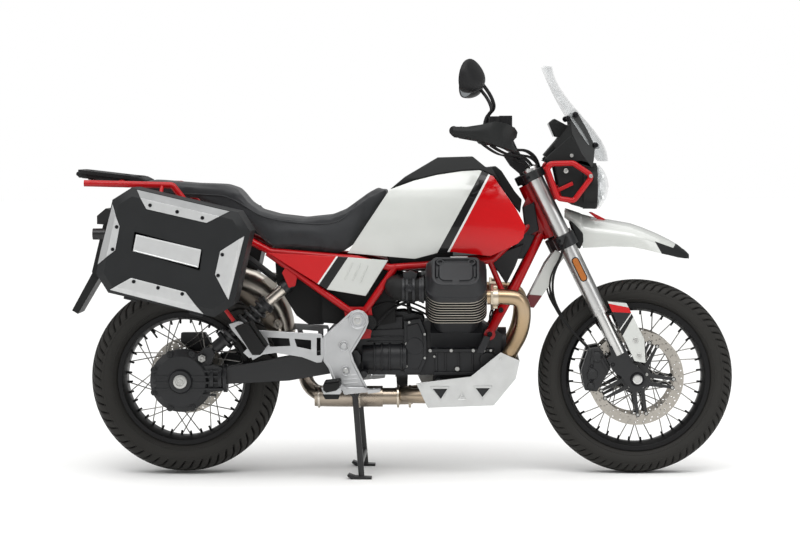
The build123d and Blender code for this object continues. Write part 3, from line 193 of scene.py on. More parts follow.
def edged(piece, width, angle=34, segments=2):
    """Rounds a piece's sharp edges by a width in millimetres and keeps its flats flat to the eye."""
    rounding = piece.modifiers.new("rounding", "BEVEL")
    rounding.width = width / 1000
    rounding.segments = segments
    rounding.limit_method = "ANGLE"
    rounding.angle_limit = radians(angle)
    rounding.miter_outer = "MITER_ARC"
    rounding.use_clamp_overlap = True
    flats = piece.modifiers.new("flats", "WEIGHTED_NORMAL")
    flats.keep_sharp = True
    return piece


def dressed(node, body, slot, material, width=1.0):
    """The node's own form with rounded edges and its real finish, in the node's place."""
    piece = edged(piece_from(node + "_finished", solid_of(node), body, slot, material), width)
    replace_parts(piece, node)
    return piece


def toward(at, axis):
    """The placement of a shape drawn round +Z: its foot at a point, its +Z along an axis."""
    return Matrix.Translation(at) @ Vector(axis).to_track_quat("Z", "Y").to_matrix().to_4x4()


def placed(bm, known, place):
    """Puts every vertex that was made since the known ones at a placement."""
    bmesh.ops.transform(bm, matrix=place, verts=[v for v in bm.verts if v not in known])


def verts_of(geom):
    """The vertices in what an operator returned."""
    return [v for v in geom if isinstance(v, bmesh.types.BMVert)]


def face_of(geom):
    """The first face in what an operator returned."""
    return next(f for f in geom if isinstance(f, bmesh.types.BMFace))


def edges_round(verts):
    """Every edge that meets one of these vertices."""
    return list({e for v in verts for e in v.link_edges})


def whole(bm):
    """All of a mesh, as an operator takes it."""
    return bm.verts[:] + bm.edges[:] + bm.faces[:]


def stub(bm, radius, height, segments):
    """A round boss standing at the origin. Returns its top face."""
    disc = bmesh.ops.create_circle(bm, cap_ends=True, radius=radius, segments=segments)["verts"]
    wall = bmesh.ops.extrude_face_region(bm, geom=[disc[0].link_faces[0]])["geom"]
    bmesh.ops.translate(bm, vec=(0, 0, height), verts=verts_of(wall))
    return face_of(wall)


def stepped(bm, face, *steps):
    """Insets a face step by step, each with its margin and with the rise of what lies inside it."""
    for margin, rise in steps:
        bmesh.ops.inset_individual(bm, faces=[face], thickness=margin, depth=rise)


def outward(bm):
    """Turns every face to the outside."""
    bmesh.ops.recalc_face_normals(bm, faces=bm.faces)


def evened(bm, verts, times=1, along_x=True):
    """Draws points towards the middle of their neighbours."""
    for _ in range(times):
        bmesh.ops.smooth_vert(bm, verts=verts, factor=0.5, use_axis_x=along_x, use_axis_y=True,
                              use_axis_z=True)


def screw(bm, at, axis, radius, height, sides=20, socket=0.55):
    """A cap screw: a chamfered head with a hexagon socket, standing on a point."""
    known = set(bm.verts)
    top = stub(bm, radius, height * 0.8, sides)
    stepped(bm, top, (radius * 0.14, height * 0.2))
    if socket:
        stepped(bm, top, (radius * (0.86 - socket), 0), (radius * 0.02, -height * 0.6))
    placed(bm, known, toward(at, axis))


def prism(bm, points, place, height, index=0):
    """A flat plate: a polygon drawn on a placement's X and Y, raised along its Z. Returns its top face."""
    known = set(bm.verts)
    base = bm.faces.new([bm.verts.new((x, y, 0)) for x, y in points])
    base.normal_update()
    raised = bmesh.ops.extrude_face_region(bm, geom=[base], use_keep_orig=True)["geom"]
    top = face_of(raised)
    bmesh.ops.translate(bm, vec=(0, 0, height), verts=top.verts)
    made = [v for v in bm.verts if v not in known]
    skin = list({f for v in made for f in v.link_faces})
    bmesh.ops.recalc_face_normals(bm, faces=skin)
    for face in skin:
        face.material_index = index
    placed(bm, known, place)
    return top


def pierced(bm, points, holes, place, height):
    """A plate with openings: its outline and holes are filled flat, then drawn up to the given height."""
    known = set(bm.verts)
    for loop in [points] + holes:
        ring = [bm.verts.new((x, z, 0)) for x, z in loop]
        for start, end in zip(ring, ring[1:] + ring[:1]):
            bm.edges.new((start, end))
    edges = edges_round(v for v in bm.verts if v not in known)
    filled = bmesh.ops.triangle_fill(bm, use_beauty=True, edges=edges, normal=(0, 0, 1))["geom"]
    sheet = [f for f in filled if isinstance(f, bmesh.types.BMFace)]
    grown = bmesh.ops.extrude_face_region(bm, geom=sheet, use_keep_orig=True)["geom"]
    bmesh.ops.translate(bm, vec=(0, 0, height), verts=verts_of(grown))
    placed(bm, known, place)
    outward(bm)


def drum(bm, at, axis, low, high, radius, end=None, segments=40):
    """A round boss or band between two heights along an axis, its far end turned to its own radius."""
    known = set(bm.verts)
    bmesh.ops.create_cone(bm, cap_ends=True, segments=segments, radius1=radius,
                          radius2=radius if end is None else end, depth=high - low)
    placed(bm, known, toward(at, axis) @ Matrix.Translation((0, 0, (low + high) / 2)))


def both_sides(bm):
    """Adds the mirror image across the centre plane."""
    twin = bmesh.ops.duplicate(bm, geom=whole(bm))["geom"]
    bmesh.ops.scale(bm, vec=(1, -1, 1), verts=verts_of(twin))
    bmesh.ops.reverse_faces(bm, faces=[f for f in twin if isinstance(f, bmesh.types.BMFace)])


def side_view(y, facing):
    """The placement of a side view drawn in X and Z: it lies at Y, and its height grows towards facing."""
    return Matrix(((1, 0, 0, 0), (0, 0, facing, y), (0, 1, 0, 0), (0, 0, 0, 1)))


def flank(bm, points, y, thick, index=0):
    """A plate on the right flank, growing outwards from its distance to the centre plane."""
    return prism(bm, points, side_view(-y, -1), thick, index)


def painted(name, colour, rough=0.25, coat=0.6, peel=0.12, specular=0.5):
    """Sprayed enamel on metal: even colour, clear gloss and an orange peel of about 4 mm waves."""
    values = {"Coat Weight": coat, "Coat Roughness": 0.06, "Specular IOR Level": specular}
    gloss = (rough * 0.8, rough * 1.25)
    material = surface(name, values, toned(colour, 0.86), linear(colour), 9.0, 4.0, gloss)
    waves = pattern(material, "TexNoise", {"Scale": 240.0, "Detail": 1.0})
    return bumped(material, waves, peel, 0.0004)


def moulded(name, colour, rough=0.5, grain=1.2, depth=0.2, specular=0.22):
    """Injection-moulded plastic with a spark-eroded grain, its size in millimetres."""
    values = {"IOR": 1.46, "Specular IOR Level": specular}
    gloss = (rough - 0.06, rough + 0.08)
    material = surface(name, values, linear(colour), toned(colour, 1.3, 0.001), 14.0, 3.0, gloss)
    pits = pattern(material, "TexVoronoi", {"Scale": 1000.0 / grain})
    return bumped(material, pits, depth, 0.0003)


def cast_metal(name, colour, rough=0.4, grain=1.6, depth=0.25, metal=1.0, specular=0.5):
    """Die-cast light alloy: a sand-like skin whose tone and gloss drift a little with a soft noise."""
    values = {"Metallic": metal, "Specular IOR Level": specular}
    gloss = (rough + 0.1, rough - 0.06)
    material = surface(name, values, toned(colour, 0.78), linear(colour), 22.0, 5.0, gloss)
    sand = pattern(material, "TexNoise", {"Scale": 1000.0 / grain, "Detail": 2.0})
    return bumped(material, sand, depth, 0.0004)


frame_red = painted("powder_coated_steel_red", "#a8050d", 0.3, 0.2, 0.12, 0.25)
dressed("frame", "chassis", "frame_red", frame_red, 0.8)
dressed("rack_tubes", "chassis", "frame_red", frame_red, 0.8)
rack_black = moulded("moulded_deck_black", "#131415", 0.45, 1.2, 0.2)
dressed("rear_rack", "chassis", "rack_alloy", rack_black, 1.2)
bm = bmesh.new()
flank(bm, [(-1096, 1030), (-1063, 1030), (-1055, 1006), (-1076, 1008), (-1098, 1018)], 88, 14)
flank(bm, [(-1068, 1030), (-890, 1014), (-857, 1000), (-862, 992), (-934, 992), (-1060, 1006)], 84, 14)
both_sides(bm)
prism(bm, [(-1096, 1026), (-1084, 1027), (-1080, 1009), (-1092, 1010)], side_view(-90, 1), 180)
prism(bm, [(-884, 1014), (-860, 1002), (-862, 993), (-886, 997)], side_view(-90, 1), 180)
edged(piece_from("rack_skirt", bm, "chassis", "rack_alloy", rack_black), 5, 30, 4)

screw_black = cast_metal("blacked_screw_steel", "#2a2a2c", 0.35, 1.0, 0.1)
screw_bright = cast_metal("zinc_plated_steel", "#bcbcb9", 0.32, 1.0, 0.08)
bm = bmesh.new()
for side in (-1, 1):
    for x, z, y in ((292, 480, 116), (330, 561, 103), (-146, 535, 184.7)):
        screw(bm, (x, side * y, z), (0, side, 0), 9, 6)
piece_from("frame_screws", bm, "chassis", "frame_red", screw_black)

# ---------------------------------------------------------------- engine
# One casting for crankcase, gearbox and sump, painted satin black, with ribs and cap screws along its joints.
# A finned barrel and head leans out 45 degrees on each side, its fins' rims left as bright turned metal.
CRANK = Vector((180, 0, 430))
FIN_RIM = (204, 168)
FIN_PITCH = 12.3375
COVER_RINGS = (  # up the cylinder: width, height, radius of the outer and of the inner corners
    (321, 200, 168, 52, 26), (344, 200, 168, 52, 26), (347, 192, 160, 48, 24), (372, 168, 136, 42, 22),
    (381, 160, 128, 38, 20), (385, 152, 120, 36, 18), (385, 138, 106, 30, 14), (378, 132, 100, 28, 13),
    (378, 114, 82, 22, 11), (383, 108, 76, 20, 10), (384, 84, 52, 14, 8),
)


def up_cylinder(distance):
    """The placement of a section across the right cylinder: X forward, Y in and up, Z out along its axis."""
    lean = sin(pi / 4)
    foot = CRANK + Vector((0, -lean, lean)) * distance
    turn = Matrix(((1, 0, 0), (0, lean, -lean), (0, lean, lean)))
    return Matrix.Translation(foot) @ turn.to_4x4()


def cornered(width, height, low, high, steps=6):
    """The outline of a rectangle whose outer and inner corners are rounded by their own radii."""
    outline = []
    for x, y, radius, start in (
        (-1, -1, low, pi), (1, -1, low, 1.5 * pi), (1, 1, high, 0), (-1, 1, high, 0.5 * pi),
    ):
        for i in range(steps + 1):
            turn = start + i * pi / 2 / steps
            outline.append((x * (width / 2 - radius) + radius * cos(turn),
                            y * (height / 2 - radius) + radius * sin(turn)))
    return outline


engine_black = cast_metal("painted_casting_black", "#16171a", 0.4, 2.2, 0.35, 0.0, 0.4)
fin_bright = cast_metal("turned_fin_rim", "#b9b3a8", 0.3, 1.0, 0.1)
dressed("engine_block", "chassis", "engine_black", engine_black, 2.0)

bm = bmesh.new()
prism(bm, cornered(150, 124, 40, 24), up_cylinder(143), 177.4)
for i in range(9):
    low = 44 + 1.5 * i
    prism(bm, cornered(*FIN_RIM, low, 22), up_cylinder(218 + FIN_PITCH * i), 4)
for face in bm.faces:
    out = face.calc_center_median() - CRANK
    across = abs(face.normal @ Vector((0, -1, 1)).normalized())
    face.material_index = int(across < 0.1 and (abs(out.x) > 76 or abs(out.y + out.z) / sqrt(2) > 63))
both_sides(bm)
finned = edged(piece_from("finned_barrels", bm, "chassis", "cylinder_alloy", engine_black, fin_bright), 0.7)
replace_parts(finned, "cylinders")

# Each rocker cover is a deep die casting: a stepped lid with a raised rim, held by two recessed screws, with
# a brushed strip let into its upper edge and a forked rib below.
bm = bmesh.new()
rings = []
for height, wide, tall, low, high in COVER_RINGS:
    known = set(bm.verts)
    loop = [bm.verts.new((x, y, 0)) for x, y in cornered(wide, tall, low, high)]
    rings.append([bm.edges.new(pair) for pair in zip(loop, loop[1:] + loop[:1])])
    placed(bm, known, up_cylinder(height))
for low, high in zip(rings, rings[1:]):
    bmesh.ops.bridge_loops(bm, edges=low + high)
bmesh.ops.contextual_create(bm, geom=rings[0])
bmesh.ops.contextual_create(bm, geom=rings[-1])
outward(bm)
for x in (-52, 52):
    place = up_cylinder(374)
    screw(bm, place @ Vector((x, 40, 0)), place.col[2][:3], 14, 11, 28)
for outline in (
    [(-14, -58), (14, -58), (11, -34), (-11, -34)],
    [(-11, -34), (-4, -34), (-26, -16), (-36, -16)],
    [(11, -34), (36, -16), (26, -16), (4, -34)],
):
    prism(bm, outline, up_cylinder(374), 9)
for x in (-62, -46, -30, 30, 46, 62):
    prism(bm, [(x - 3, -24), (x + 3, -24), (x + 3, 14), (x - 3, 14)], up_cylinder(376), 6)
both_sides(bm)
covers = edged(piece_from("rocker_lids", bm, "chassis", "cover_black", engine_black), 1.4, 28, 3)
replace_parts(covers, "rocker_covers")
bm = bmesh.new()
prism(bm, cornered(58, 7, 2, 2, 2), up_cylinder(385) @ Matrix.Translation((10, 62, -6)), 3)
both_sides(bm)
brushed_strip = cast_metal("brushed_alloy_strip", "#dcdcda", 0.3, 1.0, 0.1)
edged(piece_from("cover_strips", bm, "chassis", "plate_alloy", brushed_strip), 0.5)

# The casting's flanks: a raised bell over the clutch, a round gearbox barrel, joint flanges and stiffening
# ribs, then the zinc-plated screws along the joints.
bm = bmesh.new()
flank(bm, [(4, 350), (58, 346), (80, 396), (80, 484), (60, 534), (4, 524)], 82, 20)
flank(bm, [(14, 366), (52, 362), (68, 400), (68, 478), (52, 518), (14, 508)], 100, 6)
flank(bm, [(-118, 488), (-66, 552), (2, 556), (66, 540), (80, 500), (10, 486)], 60, 10)
flank(bm, [(-96, 492), (-60, 536), (0, 540), (0, 492)], 68, 16)
flank(bm, [(82, 418), (306, 418), (306, 430), (82, 430)], 82, 12)
flank(bm, [(104, 340), (296, 340), (302, 352), (104, 352)], 66, 26)
for x, foot, top, wide in ((108, 354, 516, 8), (160, 430, 520, 10), (214, 430, 520, 8), (262, 352, 500, 9),
                           (140, 352, 418, 6), (186, 352, 418, 6), (232, 352, 418, 6)):
    flank(bm, [(x, foot), (x + wide, foot), (x + wide, top), (x, top)], 82, 9)
for x, z, radius, deep in ((286, 392, 30, 12), (124, 470, 22, 10), (40, 440, 34, 28), (300, 360, 20, 4)):
    drum(bm, (x, -80, z), (0, -1, 0), 0, deep, radius, radius * 0.86)
drum(bm, (-62, -70, 402), (1, 0, 0), -75, 75, 47, 50, 56)
for x in (-96, -70, -44, -4):
    drum(bm, (x, -70, 402), (1, 0, 0), -3.5, 3.5, 53, None, 56)
for z in (436, 452, 468):
    flank(bm, [(-120, z), (4, z), (4, z + 5), (-120, z + 5)], 90, 8)
for i in range(5):
    z = 262 + 15 * i
    flank(bm, [(104, z), (268 + 4 * i, z), (268 + 4 * i, z + 5), (104, z + 5)], 66, 7)
both_sides(bm)
edged(piece_from("casting_flanks", bm, "chassis", "engine_black", engine_black), 2.0, 30, 3)

bm = bmesh.new()
for x, z, radius in ((92, 424, 6), (106, 404, 4), (163, 424, 6), (237, 424, 6), (272, 424, 7), (183, 362, 8),
                     (296, 424, 5)):
    screw(bm, (x, -93, z), (0, -1, 0), radius, 6)
for x, z in ((12, 372), (12, 448), (74, 400), (74, 480), (22, 520)):
    screw(bm, (x, -101, z), (0, -1, 0), 4.5, 6)
both_sides(bm)
piece_from("engine_screws", bm, "chassis", "plate_alloy", screw_bright)

hose_rubber = moulded("moulded_rubber_black", "#131313", 0.6, 1.0, 0.15)


def hose(name, points, thick, body, material, closed=False):
    """A bent tube or cable: a smooth line through points in millimetres, with a round section."""
    line = bpy.data.curves.new(name, "CURVE")
    line.dimensions = "3D"
    line.bevel_depth = thick / 2000
    line.bevel_resolution = 4
    line.resolution_u = 8
    line.use_fill_caps = True
    run = line.splines.new("NURBS")
    run.points.add(len(points) - 1)
    for point, at in zip(run.points, points):
        point.co = (at[0] / 1000, at[1] / 1000, at[2] / 1000, 1)
    run.order_u = 3
    run.use_endpoint_u = not closed
    run.use_cyclic_u = closed
    drawn = bpy.data.objects.new(name + "_line", line)
    mesh = bpy.data.meshes.new_from_object(drawn)
    bpy.data.objects.remove(drawn)
    mesh.name = name
    mesh.shade_smooth()
    mesh.set_sharp_from_angle(angle=radians(50))
    mesh.materials.clear()
    mesh.materials.append(material)
    piece = bpy.data.objects.new(name, mesh)
    bpy.context.scene.collection.objects.link(piece)
    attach(piece, body)
    return piece


def hose_pair(name, points, thick, body, material):
    """A hose on the right side and its mirror image on the left. Returns the right one."""
    right = hose(name, points, thick, body, material)
    hose(name + "_left", [(x, -y, z) for x, y, z in points], thick, body, material)
    return right


# Rubber boots lead from the throttle bodies into the heads, each held by bands and a round sensor.
INTAKE = [(80, -204, 636), (40, -204, 636), (12, -204, 636), (-14, -200, 637), (-22, -160, 642),
          (-22, -86, 650)]
boot = hose_pair("intake_boot", INTAKE, 76, "chassis", hose_rubber)
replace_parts(boot, "intakes")
bm = bmesh.new()
for x, radius in ((70, 45), (62, 41), (40, 43), (18, 41), (6, 40)):
    drum(bm, (x, -204, 636), (1, 0, 0), -4.5, 4.5, radius)
flank(bm, [(10, 664), (46, 668), (52, 690), (30, 700), (4, 690)], 170, 44)
drum(bm, (26, -238, 644), (0, -1, 0), 0, 10, 15, 13)
screw(bm, (26, -248, 644), (0, -1, 0), 10, 5, 24)
both_sides(bm)
edged(piece_from("intake_clips", bm, "chassis", "cover_black", engine_black), 1.5)
dressed("inner_box", "chassis", "plastic_black", hose_rubber, 2.0)

# Loom and hoses between the gearbox, the frame and the barrels.
for number, (run, thick) in enumerate((
    ([(-104, -150, 500), (-80, -128, 520), (-40, -110, 566), (10, -112, 590), (70, -118, 600)], 9),
    ([(-118, -120, 560), (-70, -110, 590), (-10, -106, 584), (60, -110, 560), (92, -112, 540)], 7),
    ([(-60, -96, 640), (-40, -80, 600), (-60, -74, 570), (-30, -70, 552)], 12),
    ([(30, -92, 650), (40, -84, 610), (10, -80, 580), (24, -70, 548)], 10),
    ([(-106, -96, 690), (-96, -100, 640), (-110, -104, 600), (-90, -96, 556)], 14),
    ([(300, -128, 600), (306, -112, 560), (290, -96, 520), (300, -92, 470)], 6),
)):
    hose_pair(f"loom_{number}", run, thick, "chassis", hose_rubber)

# Black moulded covers close the frame: beside the steering head, behind its tubes and under the tank.
bm = bmesh.new()
for outline, y, deep in (
    ([(285, 734), (408, 781), (380, 706), (349, 644), (324, 684), (291, 723)], 58, 20),
    ([(405, 903), (444, 922), (460, 826), (419, 806), (410, 858)], 46, 20),
    ([(350, 748), (386, 784), (404, 826), (446, 808), (424, 759), (406, 730), (320, 728)], 46, 20),
    ([(-62, 762), (170, 762), (170, 690), (-34, 690)], 56, 30),
    ([(273, 480), (295, 472), (273, 420), (245, 420)], 150, 12),
    ([(96, 302), (153, 302), (140, 262), (105, 262)], 141, 8),
    ([(240, 307), (296, 307), (276, 262), (252, 262)], 141, 8),
):
    flank(bm, outline, y - deep, deep)
both_sides(bm)
edged(piece_from("frame_covers", bm, "chassis", "plastic_black", engine_black), 3, 30, 3)

# ---------------------------------------------------------------- exhaust
# Stainless headers drawn into a collector under the gearbox; heat has tinted the steel straw and bronze,
# deepest where the pipes leave the heads. Cast flanges, slip-joint clamps and a pressed shield complete it.


def heat_tinted(name, cool, hot, reach):
    """Polished stainless that was heated: it turns bronze within a reach of the engine, finely streaked."""
    material = surface(name, {"Metallic": 1.0}, linear(cool), linear(hot), 18.0, 6.0, (0.22, 0.38))
    tree = material.node_tree
    away = pattern(material, "VectorMath", {1: (0.33, 0.0, 0.52)}, operation="DISTANCE")
    blotch = add(tree, "Math", {0: tree.nodes["drift"].outputs["Fac"], 1: 0.24, 2: away.outputs["Value"]},
                 operation="MULTIPLY_ADD")
    heat = add(tree, "MapRange", {"Value": blotch.outputs["Value"], "From Min": reach, "From Max": 0.1})
    tree.links.new(heat.outputs["Result"], tree.nodes["tint"].inputs[0])
    streaks = pattern(material, "TexNoise", {"Scale": 700.0, "Detail": 1.0})
    return bumped(material, streaks, 0.08, 0.0002)


exhaust_steel = heat_tinted("heat_tinted_stainless", "#a2978a", "#a98a5c", 0.62)
HEADER = [(282, 214, 612), (330, 214, 614), (404, 212, 606), (402, 186, 500), (354, 104, 410),
          (322, 104, 322), (270, 104, 276)]
for label, run, thick in (
    ("header_right", [(x, -y, z) for x, y, z in HEADER] + [(70, -104, 270), (0, -52, 268)], 51),
    ("header_left", HEADER + [(86, 104, 270), (-20, -20, 268)], 51),
    ("collector", [(30, -46, 266), (-10, -40, 264), (-60, -40, 264), (-90, -40, 264)], 58),
    ("collector_box", [(-70, -40, 264), (-100, -40, 264), (-240, -40, 264), (-300, -40, 266)], 72),
    ("elbow", [(-262, -40, 264), (-322, -14, 280), (-350, 110, 350), (-392, 164, 448), (-432, 164, 482)], 50),
):
    pipe = hose(label, run, thick, "chassis", exhaust_steel)
    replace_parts(pipe, "exhaust_pipes")
PORT_Y, PORT_Z = 214, 612  # where each header leaves its head
shield_steel = heat_tinted("polished_stainless", "#cfc8be", "#c4b49a", 0.9)
MUFFLER = Vector((-430, 164, 480))
muffler_axis = Vector((-310, 0, 262)).normalized()
oval = Matrix.Scale(1.34, 4, muffler_axis.cross(Vector((0, 1, 0))))
bm = bmesh.new()
for low, high, radius, end in ((0, 70, 30, 49), (70, 376, 49, None), (376, 402, 49, 36), (60, 66, 50, None)):
    drum(bm, MUFFLER, muffler_axis, low, high, radius, end, 64)
drum(bm, MUFFLER, muffler_axis, 340, 405, 22, 24, 40)
squash = Matrix.Translation(MUFFLER) @ oval @ Matrix.Translation(-MUFFLER)
bmesh.ops.transform(bm, matrix=squash, verts=bm.verts)
can = edged(piece_from("silencer_can", bm, "chassis", "silencer_steel", exhaust_steel, smooth=50), 1.5)
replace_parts(can, "silencer")

bm = bmesh.new()
for side in (-1, 1):
    drum(bm, (294, side * PORT_Y, PORT_Z), (1, 0, 0), 0, 9, 42, None, 6)
    drum(bm, (298, side * PORT_Y, PORT_Z), (1, 0, 0), 0, 22, 31, 29)
    for up in (-33, 33):
        screw(bm, (303, side * PORT_Y, PORT_Z + up), (1, 0, 0), 7, 14, 6, 0)
for x, radius in ((22, 39), (-18, 38.5), (-150, 38.5), (-286, 39)):
    drum(bm, (x, -40, 264), (1, 0, 0), -4, 4, radius, None, 48)
edged(piece_from("exhaust_flanges", bm, "chassis", "exhaust_steel", shield_steel), 1.2)

# The silencer's front shield: a tapered pressing over the body's mouth with two screw bosses and a hanger
# lug. Its sections are listed from the mouth up: X and Z of the middle, and half the height.
SHIELD = ((-412, 474, 31), (-418, 506, 34), (-434, 546, 40), (-460, 582, 46), (-494, 611, 50),
          (-532, 632, 52), (-576, 648, 52), (-640, 692, 51))
bm = bmesh.new()
for number, (x, z, radius) in enumerate(SHIELD):
    ahead = SHIELD[min(number + 1, len(SHIELD) - 1)]
    behind = SHIELD[max(number - 1, 0)]
    along = Vector((ahead[0] - behind[0], 0, ahead[1] - behind[1])).normalized()
    turn = Matrix((along.cross(Vector((0, 1, 0))), (0, 1, 0), along)).transposed().to_4x4()
    size = Matrix.Diagonal((radius, 40 + radius * 0.24, 1, 1))
    place = Matrix.Translation((x, MUFFLER.y, z)) @ turn @ size
    bmesh.ops.create_circle(bm, cap_ends=False, radius=1, segments=56, matrix=place)
bmesh.ops.bridge_loops(bm, edges=bm.edges[:])
drum(bm, (-412, MUFFLER.y, 474), (0.05, 0, -1), 0, 12, 32, 29, 56)
for x, z in ((-472, 578), (-437, 498)):
    drum(bm, (x, 116, z), (0, -1, 0), 0, 5, 17, 15, 32)
    screw(bm, (x, 111, z), (0, -1, 0), 11, 4, 24)
prism(bm, [(-490, 652), (-454, 678), (-430, 672), (-424, 652), (-440, 634), (-456, 618)],
      side_view(122, -1), 8)
drum(bm, (-440, 114, 657), (0, -1, 0), 0, 5, 14, 12, 32)
outward(bm)
edged(piece_from("silencer_shield", bm, "chassis", "silencer_steel", shield_steel, smooth=50), 1.5)

# ---------------------------------------------------------------- plates, pegs and stands
# A skid plate bent from blasted aluminium sheet and cast aluminium peg plates, silver and softly matt, with
# machined bosses. Rubber-topped steel pegs, a cast pedal and lever, and black steel stands hang from them.
SKID_Y = 146
PEG_PLATE_Y = 185
PEG_BOSS_Y = 193
plate_alloy = cast_metal("blasted_alloy_plate", "#d4d5d4", 0.5, 1.2, 0.2)
dressed("skid_plate", "chassis", "plate_alloy", plate_alloy, 1.0)
bracket_alloy = cast_metal("cast_alloy_silver", "#c3c4c5", 0.42, 1.6, 0.25)
bm = bmesh.new()
skin = flank(bm, [(-182, 552), (-168, 564), (-147, 570), (-127, 564), (-113, 548), (-111, 528), (-121, 500),
                  (-151, 451), (-168, 425), (-160, 398), (-137, 351), (-117, 312), (-124, 301), (-204, 303),
                  (-229, 330), (-237, 351), (-245, 374), (-262, 398), (-263, 478), (-252, 490)],
             PEG_PLATE_Y, 12)
stepped(bm, skin, (7, 0), (1.5, -2.5))
arm = [(-576, 522), (-545, 532), (-532, 529), (-511, 504), (-400, 497), (-268, 489), (-262, 470),
       (-262, 410), (-268, 394), (-284, 393), (-334, 412), (-423, 426), (-464, 420), (-498, 402),
       (-519, 447), (-566, 502)]
windows = [[(-358, 473), (-303, 468), (-303, 436), (-350, 446)],
           [(-284, 476), (-271, 476), (-271, 418), (-284, 416)],
           [(-450, 478), (-376, 474), (-372, 449), (-440, 446)]]
pierced(bm, arm, windows, side_view(-PEG_PLATE_Y, -1), 11)
both_sides(bm)
plates = edged(piece_from("cast_peg_plates", bm, "chassis", "bracket_alloy", bracket_alloy), 2.5, 30, 3)
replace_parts(plates, "peg_plates")

bm = bmesh.new()
boss = flank(bm, [(184, 262), (214, 262), (199, 292)], SKID_Y, 2.5)
stepped(bm, boss, (4, -1.5))
for points in ([(92, 308), (158, 308), (128, 258)], [(236, 310), (301, 310), (267, 264)]):
    known = set(bm.verts)
    rim = bm.faces.new([bm.verts.new((x, z, 0)) for x, z in points])
    stepped(bm, rim, (5, 0))
    bmesh.ops.delete(bm, geom=[rim], context="FACES_ONLY")
    band = list({f for v in bm.verts if v not in known for f in v.link_faces})
    grown = bmesh.ops.extrude_face_region(bm, geom=band, use_keep_orig=True)["geom"]
    bmesh.ops.translate(bm, vec=(0, 0, 1.6), verts=verts_of(grown))
    placed(bm, known, side_view(-SKID_Y, -1))
for x, z, radius in ((199, 274, 5), (330, 400, 6), (62, 318, 5)):
    screw(bm, (x, -SKID_Y - 0.5, z), (0, -1, 0), radius, 4)
outward(bm)
both_sides(bm)
edged(piece_from("skid_plate_bosses", bm, "chassis", "plate_alloy", plate_alloy), 0.8)

bm = bmesh.new()
for x, z, radius, high in ((-147, 534, 31, 9), (-188, 366, 17, 8), (-194, 448, 18, 8)):
    known = set(bm.verts)
    top = stub(bm, radius, high, 44)
    stepped(bm, top, (radius * 0.16, 0), (1, -high * 0.6), (radius * 0.2, 0), (1, high * 0.4))
    placed(bm, known, toward((x, -PEG_BOSS_Y, z), (0, -1, 0)))
for i in range(3):
    z = 346 - 13 * i
    flank(bm, [(-196, z), (-152, z + 3), (-148, z + 8), (-196, z + 5)], PEG_BOSS_Y, 3)
both_sides(bm)
outward(bm)
edged(piece_from("peg_plate_bosses", bm, "chassis", "bracket_alloy", bracket_alloy), 1.0)

bm = bmesh.new()
screw(bm, (-147, -197, 534), (0, -1, 0), 12, 5, 28)
screw(bm, (-188, -197, 366), (0, -1, 0), 8, 4, 28)
both_sides(bm)
piece_from("peg_plate_screws", bm, "chassis", "plate_alloy", screw_bright)

bm = bmesh.new()
drum(bm, (-108, -140, 524), (0, -1, 0), 0, 30, 24, 22.5)
drum(bm, (-108, -140, 524), (0, -1, 0), 30, 33, 16, 15)
both_sides(bm)
edged(piece_from("frame_plugs", bm, "chassis", "rubber_black", hose_rubber), 1.5)

# Rider's and passenger's pegs: ribbed rubber blocks on cast brackets, then the pedal and lever in silver.
bm = solid_of("foot_controls")
for face in bm.faces:
    at = face.calc_center_median()
    face.material_index = int(at.x > -226 and abs(at.y) < 264 and not (at.x < -200 and at.z > 318))
feet = edged(piece_from("pegs_and_levers", bm, "chassis", "peg_rubber", hose_rubber, bracket_alloy), 2.0)
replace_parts(feet, "foot_controls")
bm = bmesh.new()
for i in range(8):
    flank(bm, [(-254, 333), (-204, 339), (-204, 344), (-254, 338)], 212 + 13 * i, 7)
for i in range(5):
    flank(bm, [(-500, 535), (-444, 455), (-439, 458), (-496, 539)], 240 + 15 * i, 8)
flank(bm, [(-258, 300), (-200, 300), (-206, 284), (-250, 284)], 310, 8)
both_sides(bm)
edged(piece_from("peg_rubbers", bm, "chassis", "peg_rubber", hose_rubber), 1.2)
bm = bmesh.new()
flank(bm, [(-520, 436), (-486, 470), (-466, 450), (-480, 424), (-500, 418)], 236, 60)
flank(bm, [(-262, 322), (-200, 326), (-196, 306), (-214, 288), (-250, 288)], 300, 16)
for x in (-112, -92, -76):
    screw(bm, (x, -238, 306), (0, -1, 0), 6, 3)
both_sides(bm)
edged(piece_from("peg_brackets", bm, "chassis", "bracket_alloy", bracket_alloy), 2.0)

stand_black = painted("painted_steel_black", "#101012", 0.4, 0.1)
dressed("centre_stand", "centre_stand", "stand_black", stand_black, 1.0)
dressed("side_stand", "side_stand", "stand_black", stand_black, 1.0)
dressed("side_stand_bracket", "chassis", "engine_black", stand_black, 1.0)

# ---------------------------------------------------------------- drive
# A cast arm carries the shaft on the right and closes round to a plain leg on the left. The final drive's
# housing is a ribbed black casting with a bright filler cap; one coil-over damper stands beside the frame.
arm_black = painted("painted_alloy_arm_black", "#131416", 0.38, 0.1, 0.2, 0.4)
dressed("swingarm", "chassis", "arm_black", arm_black, 4.0)
housing_black = cast_metal("satin_casting_black", "#1b1c1e", 0.42, 2.0, 0.3, 0.0, 0.4)
dressed("final_drive", "chassis", "drive_black", housing_black, 3.0)
dressed("rear_caliper", "chassis", "caliper_black", arm_black, 1.5)
REAR_AXLE = Vector((-744, 0, 327))

